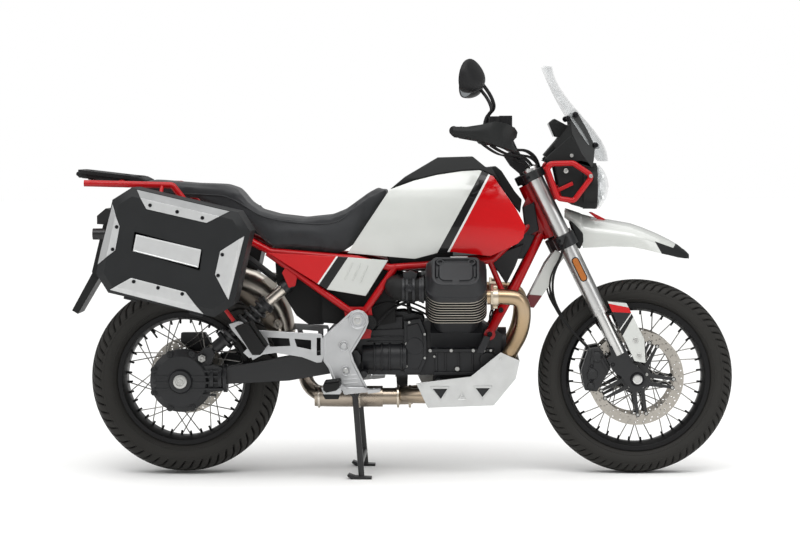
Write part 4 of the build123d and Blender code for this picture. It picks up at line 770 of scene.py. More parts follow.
bm = bmesh.new()
hub_x, hub_y, hub_z = REAR_AXLE.x, -149, REAR_AXLE.z
drum(bm, (hub_x, hub_y, hub_z), (0, -1, 0), 0, 8, 92, 84, 64)
drum(bm, (hub_x, hub_y, hub_z), (0, -1, 0), 8, 20, 42, 36, 48)
for up, back, thick in ((30, 92, 7.2), (12, 96, 10.8), (-8, 92, 10.8), (-30, 96, 10.8), (-50, 80, 7.2)):
    low, high, front = hub_z + up, hub_z + up + 7, hub_x + back * 1.5
    flank(bm, [(hub_x - back, low), (front, low), (front, high), (hub_x - back, high)], -hub_y, thick)
for i in range(8):
    turn = radians(22.5 + 45 * i)
    at = REAR_AXLE + Vector((98 * cos(turn), -150, 98 * sin(turn)))
    if cos(turn) < 0.8:
        drum(bm, at - Vector((0, -8, 0)), (0, -1, 0), 0, 10, 12, 11)
        screw(bm, at - Vector((0, 2, 0)), (0, -1, 0), 6, 3)
for x in (-640, -612, -596):
    drum(bm, (x, -121, 334), (1, 0, 0), -6, 6, 44 if x < -600 else 47, None, 48)
edged(piece_from("drive_ribs", bm, "chassis", "drive_black", housing_black), 2.0, 30, 3)
bm = bmesh.new()
screw(bm, (hub_x, -169, hub_z), (0, -1, 0), 23, 6, 48, 0.62)
screw(bm, (hub_x, -166, hub_z), (0, -1, 0), 10, 7, 6, 0.5)
screw(bm, (-672, -151, 404), (0, -1, 0), 14, 10, 6, 0)
screw(bm, (-672, -158, 404), (0, -1, 0), 9, 10, 24)
edged(piece_from("drive_cap", bm, "chassis", "plate_alloy", screw_bright), 0.8)

# The damper: a satin body with a bright rod and one wound spring, between a seat and a threaded collar.
DAMPER_FOOT = Vector((-650, -118, 420))
DAMPER_HEAD = Vector((-374, -118, 656))
damper_line = DAMPER_HEAD - DAMPER_FOOT
bm = bmesh.new()
for low, high, radius, end in (
    (10, 353, 8, None), (24, 70, 20, None), (62, 74, 33, None), (70, 243, 19, None),
    (243, 254, 33, None), (254, 262, 29, None), (330, 352, 24, 20),
):
    drum(bm, DAMPER_FOOT, damper_line, low, high, radius, end, 48)
for at, length in ((DAMPER_FOOT, 26), (DAMPER_HEAD, 26)):
    drum(bm, at - Vector((0, length / 2, 0)), (0, 1, 0), 0, length, 18)
damper = edged(piece_from("damper_body", bm, "chassis", "spring_steel", arm_black), 1.0)
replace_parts(damper, "shock_absorber")
bm = bmesh.new()
drum(bm, DAMPER_FOOT, damper_line, 262, 334, 18, None, 48)
for along in (268, 326):
    drum(bm, DAMPER_FOOT, damper_line, along - 2, along + 2, 19.5, None, 48)
edged(piece_from("damper_sleeve", bm, "chassis", "spring_steel", shield_steel), 0.8)
TURNS = 6.5
bm = bmesh.new()
wire = bmesh.ops.create_circle(bm, radius=5.5, segments=14)["verts"]
bmesh.ops.transform(bm, matrix=Matrix.Translation((27, 0, 80)) @ Matrix.Rotation(pi / 2, 4, "X"), verts=wire)
steps = int(TURNS * 28)
bmesh.ops.spin(bm, geom=edges_round(wire), cent=(0, 0, 0), axis=(0, 0, 1), dvec=(0, 0, 158 / steps),
               angle=2 * pi * TURNS, steps=steps)
bmesh.ops.holes_fill(bm, edges=bm.edges)
outward(bm)
bmesh.ops.transform(bm, matrix=toward(DAMPER_FOOT, damper_line), verts=bm.verts)
spring_steel = painted("painted_spring_steel", "#1a1b1d", 0.3, 0.4)
piece_from("damper_spring", bm, "chassis", "spring_steel", spring_steel)

# ---------------------------------------------------------------- wheels
# Wire-spoked wheels: black anodised rims, black hubs and bright steel spokes in black nipples. The tyres are
# vulcanised rubber with slanted grooves cut from the shoulder into the tread, and rings along their walls.
# The grooves' floors take a near-black rubber, darker than the tyre: painted shade.
FRONT_AXLE = Vector((786, 0, 329))
TYRES = {  # axle, rim radius, tyre radius, width, half of the bead, pitches round the tread
    "front": (FRONT_AXLE, 243, 329, 110, 37, 72),
    "rear": (REAR_AXLE, 218, 321, 150, 53, 60),
}


def arc_through(first, middle, last, count):
    """Evenly spaced points on the circle through three points of a section."""
    (ax, ay), (bx, by), (cx, cy) = first, middle, last
    twice = 2 * (ax * (by - cy) + bx * (cy - ay) + cx * (ay - by))
    ux = ((ax**2 + ay**2) * (by - cy) + (bx**2 + by**2) * (cy - ay) + (cx**2 + cy**2) * (ay - by)) / twice
    uy = ((ax**2 + ay**2) * (cx - bx) + (bx**2 + by**2) * (ax - cx) + (cx**2 + cy**2) * (bx - ax)) / twice
    radius = hypot(ax - ux, ay - uy)
    start, end = (atan2(y - uy, x - ux) for x, y in (first, last))
    sweep = (end - start + pi) % (2 * pi) - pi
    return [(ux + radius * cos(start + sweep * i / count), uy + radius * sin(start + sweep * i / count))
            for i in range(count + 1)]


def turned(bm, edges):
    """Turns a section of edges, drawn in X and Y, round the Y axis into a closed ring."""
    bmesh.ops.spin(bm, geom=edges, cent=(0, 0, 0), axis=(0, 1, 0), dvec=(0, 0, 0), angle=2 * pi, steps=120,
                   use_merge=True)


def round_axle(axle, radius, turn, y):
    """A point at a radius and an angle round an axle, at a distance across the machine."""
    return axle + Vector((radius * cos(turn), y, radius * sin(turn)))


def tyre_skin(bm, rim_r, tyre_r, width, bead_half, pitches):
    """One pitch of the tyre, drawn flat as a grid, grooved, then bent on to the section and spun round."""
    half = width / 2
    bulge_r = rim_r + 0.5 * (tyre_r - rim_r)
    shoulder = (0.86 * half, tyre_r - 0.24 * half)
    foot = (bead_half - 0.3, rim_r + 9)
    wall = arc_through(foot, (half, bulge_r), shoulder, 10)
    crown = arc_through(shoulder, (0, tyre_r), (-shoulder[0], shoulder[1]), 20)
    section = wall + crown[1:-1] + [(-y, r) for y, r in reversed(wall)]
    section = [(foot[0], rim_r + 0.3)] + section + [(-foot[0], rim_r + 0.3)]
    across = len(section) - 1
    bmesh.ops.create_grid(bm, x_segments=across, y_segments=6, size=0.5)
    bmesh.ops.translate(bm, vec=(0.5, 0.5, 0), verts=bm.verts)
    grooves = []
    for face in bm.faces:
        at = face.calc_center_median()
        column, row = int(at.x * across), int(at.y * 6)
        outer = 8 <= column <= 17 or 24 <= column <= 33
        middle = column in (18, 19, 20) and row in (3, 4) or column in (21, 22, 23) and row in (1,)
        if outer and row in (0, 1) or middle:
            grooves.append(face)
    sunk = bmesh.ops.extrude_face_region(bm, geom=grooves)["geom"]
    bmesh.ops.delete(bm, geom=grooves, context="FACES_KEEP_BOUNDARY")
    bottom = set(verts_of(sunk))
    # The grooves' floors take the second, near-black rubber: painted shade in the grooves.
    for face in {f for v in bottom for f in v.link_faces if all(w in bottom for w in f.verts)}:
        face.material_index = 1
    bmesh.ops.translate(bm, vec=(0, 0, -1), verts=list(bottom))
    pitch = 2 * pi / pitches
    for vert in bm.verts:
        along = vert.co.x * across
        step = min(int(along + 1e-4), across - 1)
        part = along - step
        y = section[step][0] * (1 - part) + section[step + 1][0] * part
        r = section[step][1] * (1 - part) + section[step + 1][1] * part
        lead = 0.9 * pitch * abs(2 * vert.co.x - 1) ** 1.2 * 4
        turn = vert.co.y * pitch + lead
        down = 7.0 * vert.co.z
        vert.co = ((r + down) * cos(turn), y * (1 + down / 400), (r + down) * sin(turn))
    bmesh.ops.spin(bm, geom=whole(bm), cent=(0, 0, 0), axis=(0, -1, 0), dvec=(0, 0, 0),
                   angle=2 * pi * (1 - 1 / pitches), steps=pitches - 1, use_duplicate=True)
    bmesh.ops.remove_doubles(bm, verts=bm.verts, dist=0.02)


tyre_rubber = moulded("vulcanised_rubber", "#242321", 0.62, 1.5, 0.12, 0.22)
# A near-black rubber for the grooves' floors: painted shade, not a different rubber.
painted_shade_groove_rubber = moulded("groove_floor_painted_shade", "#080808", 0.85, 1.5, 0.1, 0.05)
rim_black = painted("anodised_rim_black", "#0a0a0b", 0.4, 0.05, 0.05, 0.2)
spoke_steel = cast_metal("drawn_spoke_steel", "#9a9894", 0.28, 1.0, 0.05)
hub_black = cast_metal("painted_hub_black", "#151618", 0.4, 1.6, 0.2, 0.0)
disc_steel = cast_metal("ground_disc_steel", "#b3aea6", 0.3, 2.0, 0.05)
carrier_black = painted("anodised_carrier_black", "#0f1012", 0.35, 0.1)
SPOKES = 18  # on each side
LACING = radians(60)  # between a spoke's ends
VALVE_TURN = 2.2
WHEELS = {  # hub flange's distance from the centre plane, rim's inner radius, flange's spoke circle
    "front": (34, 224, 52),
    "rear": (40, 199, 84),
}
for end, (axle, rim_r, tyre_r, width, bead_half, pitches) in TYRES.items():
    body = end + "_wheel"
    bm = bmesh.new()
    tyre_skin(bm, rim_r, tyre_r, width, bead_half, pitches)
    for share, proud in ((0.26, 1.2), (0.62, 1.0), (0.74, 0.8)):
        wall = arc_through((bead_half - 0.3, rim_r + 9), (width / 2, rim_r + 0.5 * (tyre_r - rim_r)),
                           (0.43 * width, tyre_r - 0.12 * width), 100)
        y, r = wall[int(100 * share)]
        for side in (-1, 1):
            ring = bmesh.ops.create_circle(bm, radius=proud, segments=6)["verts"]
            bmesh.ops.translate(bm, vec=(r, side * y, 0), verts=ring)
            turned(bm, edges_round(ring))
    outward(bm)
    bmesh.ops.translate(bm, vec=axle, verts=bm.verts)
    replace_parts(piece_from(end + "_tread", bm, body, "tyre_black", tyre_rubber, painted_shade_groove_rubber, smooth=32),
                end + "_tyre")

    flange_y, inner_r, flange_r = WHEELS[end]
    edge = bead_half + 6
    section = [(-edge, rim_r + 8), (-bead_half, rim_r + 8), (-bead_half, rim_r), (-bead_half + 10, rim_r - 1),
               (-bead_half + 16, rim_r - 6), (bead_half - 16, rim_r - 6), (bead_half - 10, rim_r - 1),
               (bead_half, rim_r), (bead_half, rim_r + 8), (edge, rim_r + 8), (edge, rim_r - 7.6),
               (0.5 * edge, inner_r), (-0.5 * edge, inner_r), (-edge, rim_r - 7.6)]
    bm = bmesh.new()
    ring = [bm.verts.new((r, y, 0)) for y, r in section]
    edges = [bm.edges.new(pair) for pair in zip(ring, ring[1:] + ring[:1])]
    turned(bm, edges)
    outward(bm)
    bmesh.ops.translate(bm, vec=axle, verts=bm.verts)
    for side in (-1, 1):
        for i in range(SPOKES):
            rim_turn = radians(20 * i + 5 * side) + (LACING if i % 2 else -LACING)
            drum(bm, round_axle(axle, inner_r + 2, rim_turn, side * 7),
                 (-cos(rim_turn), side * 0.12, -sin(rim_turn)), -1, 17, 4.4, 3.4, 10)
    drum(bm, round_axle(axle, inner_r, VALVE_TURN, 0), (-cos(VALVE_TURN), 0, -sin(VALVE_TURN)),
         -2, 34, 4, 3, 12)
    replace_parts(edged(piece_from(end + "_rim", bm, body, "rim_black", rim_black), 0.8), body)
    bm = bmesh.new()
    for side in (-1, 1):
        for i in range(SPOKES):
            hub_turn = radians(20 * i + 5 * side)
            rim_turn = hub_turn + (LACING if i % 2 else -LACING)
            low = round_axle(axle, flange_r, hub_turn, side * flange_y + (2.4 if i % 2 else -2.4))
            high = round_axle(axle, inner_r + 2, rim_turn, side * 7)
            drum(bm, low, high - low, -2, (high - low).length, 2.0, None, 8)
            drum(bm, low, (0, side, 0), -4, 4, 3.4, None, 10)
    piece_from(end + "_spokes", bm, body, "rim_black", spoke_steel)
    bm = bmesh.new()
    half = 60 if end == "front" else 80
    drum(bm, axle - Vector((0, half, 0)), (0, 1, 0), 0, 2 * half, 27, None, 56)
    for side in (-1, 1):
        flange = axle + Vector((0, side * flange_y, 0))
        drum(bm, flange, (0, side, 0), -2.5, 2.5, flange_r + 6, None, 72)
        drum(bm, flange, (0, -side, 0), 2, flange_y - 4, flange_r - 12, 30, 56)
        drum(bm, flange, (0, side, 0), 2, 12, flange_r * 0.6, 34, 56)
    edged(piece_from(end + "_hub", bm, body, "rim_black", hub_black), 1.0)

# Floating discs: drilled steel bands on black carriers with bright rivets, two in front and one behind.
DISCS = {  # distance from the centre plane, outer radius, the band's width, rows of holes as radius and count
    "front": (66, 160, 34, ((135, 30), (143.5, 36), (152, 36))),
    "rear": (64, 130, 34, ((105, 24), (113.5, 30), (122, 30))),
}


def drilled(bm, cutter, name):
    """Cuts the second mesh out of the first and returns the result as a bmesh in millimetres."""
    parts = []
    for label, source in ((name, bm), (name + "_drill", cutter)):
        mesh = bpy.data.meshes.new(label)
        source.to_mesh(mesh)
        source.free()
        held = bpy.data.objects.new(label, mesh)
        bpy.context.scene.collection.objects.link(held)
        parts.append(held)
    cut = parts[0].modifiers.new("holes", "BOOLEAN")
    cut.operation = "DIFFERENCE"
    cut.object = parts[1]
    made = bmesh.new()
    made.from_object(parts[0], bpy.context.evaluated_depsgraph_get())
    for held in parts:
        mesh = held.data
        bpy.data.objects.remove(held)
        bpy.data.meshes.remove(mesh)
    return made


for end, (y, outer_r, ring, rows) in DISCS.items():
    axle = TYRES[end][0]
    sides = (-1, 1) if end == "front" else (1,)
    band = bmesh.new()
    for side in sides:
        known = set(band.verts)
        rim = bmesh.ops.create_circle(band, radius=outer_r, segments=96)["verts"]
        lip = bmesh.ops.create_circle(band, radius=outer_r - ring, segments=96)["verts"]
        bmesh.ops.bridge_loops(band, edges=edges_round(rim + lip))
        flat = [f for f in band.faces if f.verts[0] not in known]
        grown = bmesh.ops.extrude_face_region(band, geom=flat, use_keep_orig=True)["geom"]
        bmesh.ops.translate(band, vec=(0, 0, 4.5), verts=verts_of(grown))
        placed(band, known, toward(axle + Vector((0, side * y - 2.25, 0)), (0, 1, 0)))
    bmesh.ops.recalc_face_normals(band, faces=band.faces)
    drill = bmesh.new()
    for side in sides:
        for radius, count in rows:
            for i in range(count):
                turn = 2 * pi * i / count + radius
                drum(drill, round_axle(axle, radius, turn, side * y - 6), (0, 1, 0), 0, 12, 2.6, None, 10)
    band = drilled(band, drill, end + "_disc_band")
    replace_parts(edged(piece_from(end + "_disc_rings", band, end + "_wheel", "disc_steel", disc_steel), 0.4),
                "front_discs" if end == "front" else "rear_disc")
    bm = bmesh.new()
    inner = outer_r - ring
    for side in sides:
        for i in range(10):
            turn = 2 * pi * (i + 0.25) / 10
            skew = 0.2 if i % 2 else -0.2
            foot = Vector((44 * cos(turn), 0, 44 * sin(turn)))
            tip = Vector((inner * cos(turn + skew), 0, inner * sin(turn + skew)))
            reach = (tip - foot).length
            place = Matrix.Translation(axle + foot + Vector((0, side * y - 2, 0)))
            place = place @ Matrix.Rotation(-atan2(tip.z - foot.z, tip.x - foot.x), 4, "Y")
            prism(bm, [(0, -8), (reach - 6, -4.5), (reach + 3, -6), (reach + 3, 6), (reach - 6, 4.5), (0, 8)],
                  place @ side_view(0, 1), 4)
            drum(bm, axle + Vector((tip.x, side * y, tip.z)), (0, side, 0), -3.4, 3.4, 7.5, None, 20)
        drum(bm, axle + Vector((0, side * (y - 4), 0)), (0, side, 0), 0, 7, 50, 48, 48)
        if end == "front":
            drum(bm, axle + Vector((0, side * 60.3, 0)), (0, side, 0), 0, 13, 27, 25, 40)
    edged(piece_from(end + "_disc_carrier", bm, end + "_wheel", "caliper_black", carrier_black), 0.8)
    bm = bmesh.new()
    for side in sides:
        for i in range(10):
            turn = 2 * pi * (i + 0.25) / 10 + (0.2 if i % 2 else -0.2)
            screw(bm, round_axle(axle, inner, turn, side * (y + 3.2)), (0, side, 0), 4.6, 1.6, 18)
        for i in range(5):
            turn = 2 * pi * i / 5 + 0.3
            screw(bm, round_axle(axle, 37, turn, side * (y + 2.8)), (0, side, 0), 5, 3, 18)
    piece_from(end + "_disc_rivets", bm, end + "_wheel", "disc_steel", screw_bright)

# ---------------------------------------------------------------- fork and steering
# Upside-down fork: satin anodised outer tubes in black clamps, chromed inner tubes, and black cast feet that
# carry the axle, the calipers and white shields. The bar, the lamps and the clear screen turn with it.
LEG = (-14, 104)  # the legs' offset ahead of the steering line, and across
RAKE_SIN, RAKE_COS = 0.4352, 0.9003
FORK_UP = Vector((-RAKE_SIN, 0, RAKE_COS))
FORK_AHEAD = Vector((RAKE_COS, 0, RAKE_SIN))


def up_fork(x, y, height):
    """A point in the fork's own frame: ahead of the steering line, across, and up from the axle."""
    return Vector((FRONT_AXLE.x + RAKE_COS * x - RAKE_SIN * height, y,
                   FRONT_AXLE.z + RAKE_SIN * x + RAKE_COS * height))


def fork_face(at, side):
    """The placement of a shape drawn ahead and up in the fork's own frame, facing outwards at a point."""
    return Matrix.Translation(at) @ Matrix((FORK_AHEAD, FORK_UP, (0, side, 0))).transposed().to_4x4()


fork_alloy = cast_metal("anodised_alloy_tube", "#c4c4c3", 0.3, 2.0, 0.04)
dressed("fork_tubes", "steering", "fork_alloy", fork_alloy, 0.6)
chrome = cast_metal("hard_chrome", "#c9c9c7", 0.22, 1.0, 0.02)
bm = solid_of("fork_legs")
for face in bm.faces:
    face.material_index = int((face.calc_center_median() - up_fork(0, 0, 0)).dot(FORK_UP) > 142)
legs = edged(piece_from("fork_feet", bm, "steering", "leg_alloy", arm_black, chrome), 2.0)
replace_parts(legs, "fork_legs")
dressed("fork_clamps", "steering", "clamp_black", arm_black, 2.5)
dressed("handlebar", "steering", "bar_alloy", arm_black, 0.8)
bm = bmesh.new()
for side in (-1, 1):
    for low, high, radius in ((262, 268, 27.6), (274, 277, 27.4), (250, 256, 28.2), (786, 792, 27.5)):
        drum(bm, up_fork(LEG[0], side * LEG[1], 0), FORK_UP, low, high, radius, None, 56)
edged(piece_from("fork_tube_bands", bm, "steering", "fork_alloy", fork_alloy), 0.6)
bm = bmesh.new()
for side in (-1, 1):
    at = up_fork(LEG[0], side * LEG[1], 790)
    drum(bm, at, FORK_UP, 0, 5, 24, 22, 48)
    screw(bm, at + FORK_UP * 5, FORK_UP, 12, 5, 6, 0.4)
    axle_end = FRONT_AXLE + Vector((0, side * 128, 0))
    screw(bm, axle_end, (0, side, 0), 16, 3, 40, 0.66)
piece_from("fork_caps", bm, "steering", "fork_alloy", chrome)
bm = bmesh.new()
for side in (-1, 1):
    for height in (512, 532, 767):
        screw(bm, up_fork(LEG[0] - 24, side * (LEG[1] + 37), height), (0, side, 0), 5.5, 4)
    for x, height, y in ((-52, 80, 118), (-80, 120, 97), (-140, 60, 97), (-118, 104, 97)):
        screw(bm, up_fork(x, side * y, height), (0, side, 0), 6.5, 5)
    drum(bm, FRONT_AXLE + Vector((0, side * 117, 0)), (0, side, 0), 0, 7, 26, 22, 48)
piece_from("fork_screws", bm, "steering", "clamp_black", screw_black)

bm = bmesh.new()
for side in (-1, 1):
    place = fork_face(up_fork(LEG[0], side * (LEG[1] + 25.5), 417), side)
    amber = prism(bm, cornered(26, 88, 12, 12, 5), place, 5)
    stepped(bm, amber, (3.5, 0), (0.6, 1.4))
    for face in {f for e in amber.edges for f in e.link_faces}:
        face.material_index = 1
amber_lens = painted("amber_reflector", "#a35a02", 0.25, 0.3, 0.3)
edged(piece_from("fork_reflectors", bm, "steering", "lamp_glass", hose_rubber, amber_lens), 0.6)

body_white = painted("pearl_white_paint", "#bfc1bd", 0.2, 0.9, 0.03)
tank_red = painted("clear_coated_red", "#b9040b", 0.2, 0.3, 0.03, 0.22)
stripe_black = painted("clear_coated_black", "#0a0a0b", 0.2, 0.3, 0.03, 0.22)
stripe_white = painted("clear_coated_white", "#d6d6d4", 0.2, 0.5, 0.03)


def parted(bm, lines):
    """Parts a mesh along side-view lines, each given by two points."""
    for (x0, z0), (x1, z1) in lines:
        across = Vector((z0 - z1, 0, x1 - x0)).normalized()
        bmesh.ops.bisect_plane(bm, geom=whole(bm), dist=0.01, plane_co=(x0, 0, z0), plane_no=across)


def striped(bm, lines):
    """Parts a mesh along side-view lines, and gives each face the number of lines that it lies ahead of."""
    parted(bm, lines)
    for face in bm.faces:
        at = face.calc_center_median()
        face.material_index = sum((at.x - x0) * (z0 - z1) + (at.z - z0) * (x1 - x0) > 0
                                  for (x0, z0), (x1, z1) in lines)


# Shields over the fork's feet: white, crossed near the top by red, grey and a black stripe with a white edge.
bm = solid_of("fork_guards")
striped(bm, (((748, 572), (687, 584)), ((764, 552), (693, 556)), ((760, 546), (729, 501)),
             ((763, 545), (731, 498)), ((771, 538), (738, 480))))
shields = edged(piece_from("fork_shields", bm, "steering", "guard_white", body_white, tank_red, engine_black,
                           stripe_white, stripe_black, body_white), 2.0)
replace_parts(shields, "fork_guards")
bm = bmesh.new()
for side in (-1, 1):
    for x, height in ((52, 122), (40, 70)):
        screw(bm, up_fork(x, side * 130, height), (0, side, 0), 8, 4, 24)
piece_from("shield_screws", bm, "steering", "plate_alloy", screw_bright)

for label, side in (("right", -1), ("left", 1)):
    for twin, shift in (("brake_line", 0), ("sensor_line", 1)):
        run = [(549 - 3 * shift, side * (148 - 9 * shift), 808), (530, side * 150, 740),
               (506 - 8 * shift, side * 150, 690), (500 - 10 * shift, side * 148, 640),
               (508 - 9 * shift, side * 147, 590), (540 - 6 * shift, side * 142, 530),
               (580, side * 118, 475), (622, side * 84, 432)]
        drawn = hose(f"{twin}_{label}", run, 8 - 2 * shift, "steering", hose_rubber)
        if twin == "brake_line" and side < 0:
            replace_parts(drawn, "brake_hoses")

caliper_black = cast_metal("anodised_caliper_black", "#131416", 0.38, 1.4, 0.2, 0.0, 0.45)
dressed("calipers", "steering", "caliper_black", caliper_black, 4.0)
bm = bmesh.new()
for side in (-1, 1):
    for x, height, radius in ((-88, 124, 19), (-128, 78, 19), (-150, 44, 13)):
        at = up_fork(x, side * 95, height)
        drum(bm, at, (0, side, 0), 0, 7, radius, radius - 2, 36)
        drum(bm, at, (0, side, 0), 7, 9, radius - 6, radius - 7, 36)
    for points in ([(-96, 150), (-84, 152), (-140, 60), (-150, 70)],
                   [(-80, 60), (-70, 70), (-74, 130), (-84, 124)]):
        prism(bm, points, fork_face(up_fork(0, side * 95.5, 0), side), 5)
edged(piece_from("caliper_bores", bm, "steering", "caliper_black", caliper_black), 1.2)


def row_at(table, share):
    """A row between two rows of a table, at a share of its length, and the two rows."""
    reach = share * (len(table) - 1)
    step = min(int(reach), len(table) - 2)
    low, high = table[step:step + 2]
    return [start + (end - start) * (reach - step) for start, end in zip(low, high)], low, high


# Front mudguard in pearl white with a grained black insert under its tip, and the flap behind the wheel.
# Its sections are listed from the back: their X, the height of crown and edge, and half their width.
guard_plastic = moulded("moulded_nylon_black", "#161717", 0.5, 1.2, 0.25)
MUDGUARD = ((550, 900, 866, 58), (575, 892, 846, 70), (598, 884, 812, 80), (606, 880, 768, 84),
            (650, 868, 770, 90), (700, 861, 773, 93), (770, 848, 771, 94), (815, 832, 762, 88),
            (860, 813, 750, 77), (900, 793, 741, 61), (930, 775, 733, 45), (955, 756, 729, 27),
            (968, 743, 728, 14))
bm = bmesh.new()
bmesh.ops.create_grid(bm, x_segments=12 * 4, y_segments=32, size=0.5)
for vert in bm.verts:
    (x, crown, edge, half), _, _ = row_at(MUDGUARD, vert.co.x + 0.5)
    turn = vert.co.y * pi
    vert.co = (x, half * sin(turn), edge + (crown - edge) * max(cos(turn), 0) ** 0.6)
evened(bm, [v for v in bm.verts if not v.is_boundary], along_x=False)
parted(bm, (((847, 789), (869, 751)), ((847, 789), (911, 766)), ((911, 766), (924, 782)),
            ((924, 782), (967, 740))))
for face in bm.faces:
    at = face.calc_center_median()
    tip = at.x > 911 and at.z < 766 + (at.x - 911) * 1.23 and at.z < 782 - (at.x - 924) * 0.977 or at.x > 946
    low = at.x > 847 and at.z < 789 - (at.x - 847) * 0.36 and at.x > 847 + (789 - at.z) * 0.58
    face.material_index = int(tip or low and at.x <= 930)
outward(bm)
bmesh.ops.solidify(bm, geom=bm.faces[:], thickness=4)
outward(bm)
fender = piece_from("front_mudguard", bm, "steering", "tank_paint", body_white, guard_plastic, smooth=50)
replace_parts(fender, "front_fender")
bm = bmesh.new()
flank(bm, [(630, 885), (640, 886), (686, 862), (664, 857)], 30, 5)
both_sides(bm)
edged(piece_from("mudguard_flashes", bm, "steering", "tank_paint", tank_red), 1.5)
bm = bmesh.new()
flank(bm, [(562, 862), (580, 846), (606, 818), (608, 790), (596, 764), (584, 770), (580, 806)], 72, 14)
both_sides(bm)
edged(piece_from("mudguard_brackets", bm, "steering", "plastic_black", guard_plastic), 4, 30, 4)
bm = bmesh.new()
for outline, index in (
    ([(514, 761), (479, 713), (455, 664), (427, 610), (470, 606), (500, 650), (524, 709), (547, 738)], 0),
    ([(427, 610), (406, 569), (442, 565), (470, 606)], 1),
):
    flank(bm, outline, 56, 6, index)
both_sides(bm)
prism(bm, [(514, 758), (456, 664), (410, 568), (418, 566), (464, 660), (521, 752)], side_view(-60, 1), 120, 0)
flap_red = painted("faded_red_paint", "#5e151b", 0.4, 0.1)
edged(piece_from("wheel_flap", bm, "steering", "tank_paint", body_white, flap_red), 2.0, 30, 3)
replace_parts(bpy.data.objects["wheel_flap"], "front_flap")

# The bar's fittings: ribbed grips, switch pods, levers, and nylon guards bent round the hands. The guards'
# sections are listed from the bar's end: their X and Y, the height of their middle, and half their height.
control_black = moulded("moulded_control_black", "#151516", 0.48, 1.0, 0.15)
dressed("bar_controls", "steering", "control_black", control_black, 1.5)
SHELL = ((170, -458, 1158, 16), (215, -466, 1155, 18), (262, -468, 1153, 27), (306, -458, 1151, 38),
         (346, -430, 1142, 40), (372, -385, 1132, 37), (382, -330, 1124, 31), (380, -276, 1116, 22))
bm = bmesh.new()
bmesh.ops.create_grid(bm, x_segments=7 * 4, y_segments=16, size=0.5)
for vert in bm.verts:
    (x, y, middle, half), back, ahead = row_at(SHELL, vert.co.x + 0.5)
    crown = Vector((ahead[1] - back[1], ahead[0] - back[0], 0)).normalized() * 14 * (1 - (vert.co.y * 2) ** 2)
    vert.co = (x - crown.x, y - crown.y, middle + half * 2 * vert.co.y)
evened(bm, [v for v in bm.verts if not v.is_boundary])
bmesh.ops.solidify(bm, geom=bm.faces[:], thickness=5)
both_sides(bm)
outward(bm)
guards = edged(piece_from("hand_shields", bm, "steering", "plastic_black", guard_plastic, smooth=50),
               1.5, 60, 3)
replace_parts(guards, "hand_guards")
BAR_END = Vector((185, -440, 1158))
BAR_IN = Vector((173, 225, -32)).normalized()
bm = bmesh.new()
for i in range(17):
    drum(bm, BAR_END + BAR_IN * (18 + 7 * i), BAR_IN, 0, 4, 18.4, None, 28)
drum(bm, BAR_END - BAR_IN * 17, -BAR_IN, 0, 8, 16, 13, 36)
drum(bm, BAR_END + BAR_IN * 140, BAR_IN, 0, 40, 26, 25, 36)
for outline, low, high in (
    ([(321, 1166), (364, 1166), (364, 1209), (321, 1209)], 290, 334),
    ([(300, 1128), (352, 1120), (356, 1150), (306, 1156)], 268, 300),
    ([(339, 1081), (382, 1099), (429, 1043), (412, 1006), (391, 1020), (364, 1043)], 22, 56),
):
    prism(bm, outline, side_view(-high, 1), high - low)
both_sides(bm)
edged(piece_from("bar_fittings", bm, "steering", "control_black", control_black), 4, 30, 4)
for number, (run, thick) in enumerate((
    ([(330, -236, 1120), (372, -200, 1096), (420, -140, 1098), (456, -104, 1064), (462, -70, 1030)], 9),
    ([(336, -246, 1110), (384, -190, 1080), (432, -130, 1076), (466, -96, 1044), (458, -60, 1010)], 8),
    ([(300, -300, 1112), (340, -250, 1084), (390, -200, 1078), (420, -140, 1068), (440, -90, 1040)], 7),
    ([(270, -330, 1118), (310, -290, 1086), (352, -240, 1076), (392, -180, 1060), (430, -110, 1036)], 6),
)):
    hose_pair(f"bar_cable_{number}", run, thick, "steering", hose_rubber)

# Mirrors: a rounded shell with its glass toward the rider, on a cranked steel stalk.
mirror_glass = cast_metal("silvered_glass", "#c9cfd2", 0.03, 1.0, 0.0)
foot = BAR_END + BAR_IN * 169 + Vector((-10, 10, 24.3))
for side, label in ((-1, "right"), (1, "left")):
    run = [(foot.x, -side * foot.y, foot.z), (foot.x + 4, -side * foot.y, foot.z + 46),
           (308, side * 314, 1232), (300, side * 334, 1262), (284, side * 352, 1290), (266, side * 366, 1312)]
    hose("mirror_stalk_" + label, run, 12, "steering", control_black)
    bm = bmesh.new()
    bmesh.ops.create_uvsphere(bm, u_segments=40, v_segments=24, radius=1)
    bmesh.ops.scale(bm, vec=(34, 78, 54), verts=bm.verts)
    for vert in bm.verts:
        droop = 1 + side * 0.22 * vert.co.y / 78
        vert.co.z *= droop
        vert.co.x *= 1.2 - 0.6 * vert.co.z / 54
    bmesh.ops.bisect_plane(bm, geom=whole(bm), dist=0.001, plane_co=(-6, 0, 0),
                           plane_no=(-1, 0, 0), clear_outer=True)
    rim = [e for e in bm.edges if e.is_boundary]
    glass = bmesh.ops.contextual_create(bm, geom=rim)["faces"][0]
    stepped(bm, glass, (3, 0), (1, -2))
    glass.material_index = 1
    outward(bm)
    lean = Matrix.Rotation(radians(side * 24), 4, "Z") @ Matrix.Rotation(radians(8), 4, "Y")
    bmesh.ops.transform(bm, matrix=Matrix.Translation((228, side * 392, 1336)) @ lean, verts=bm.verts)
    shell = edged(piece_from("mirror_shell_" + label, bm, "steering", "mirror_black", control_black,
                             mirror_glass, smooth=50), 1.5, 50, 3)
    if side < 0:
        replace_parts(shell, "mirrors")

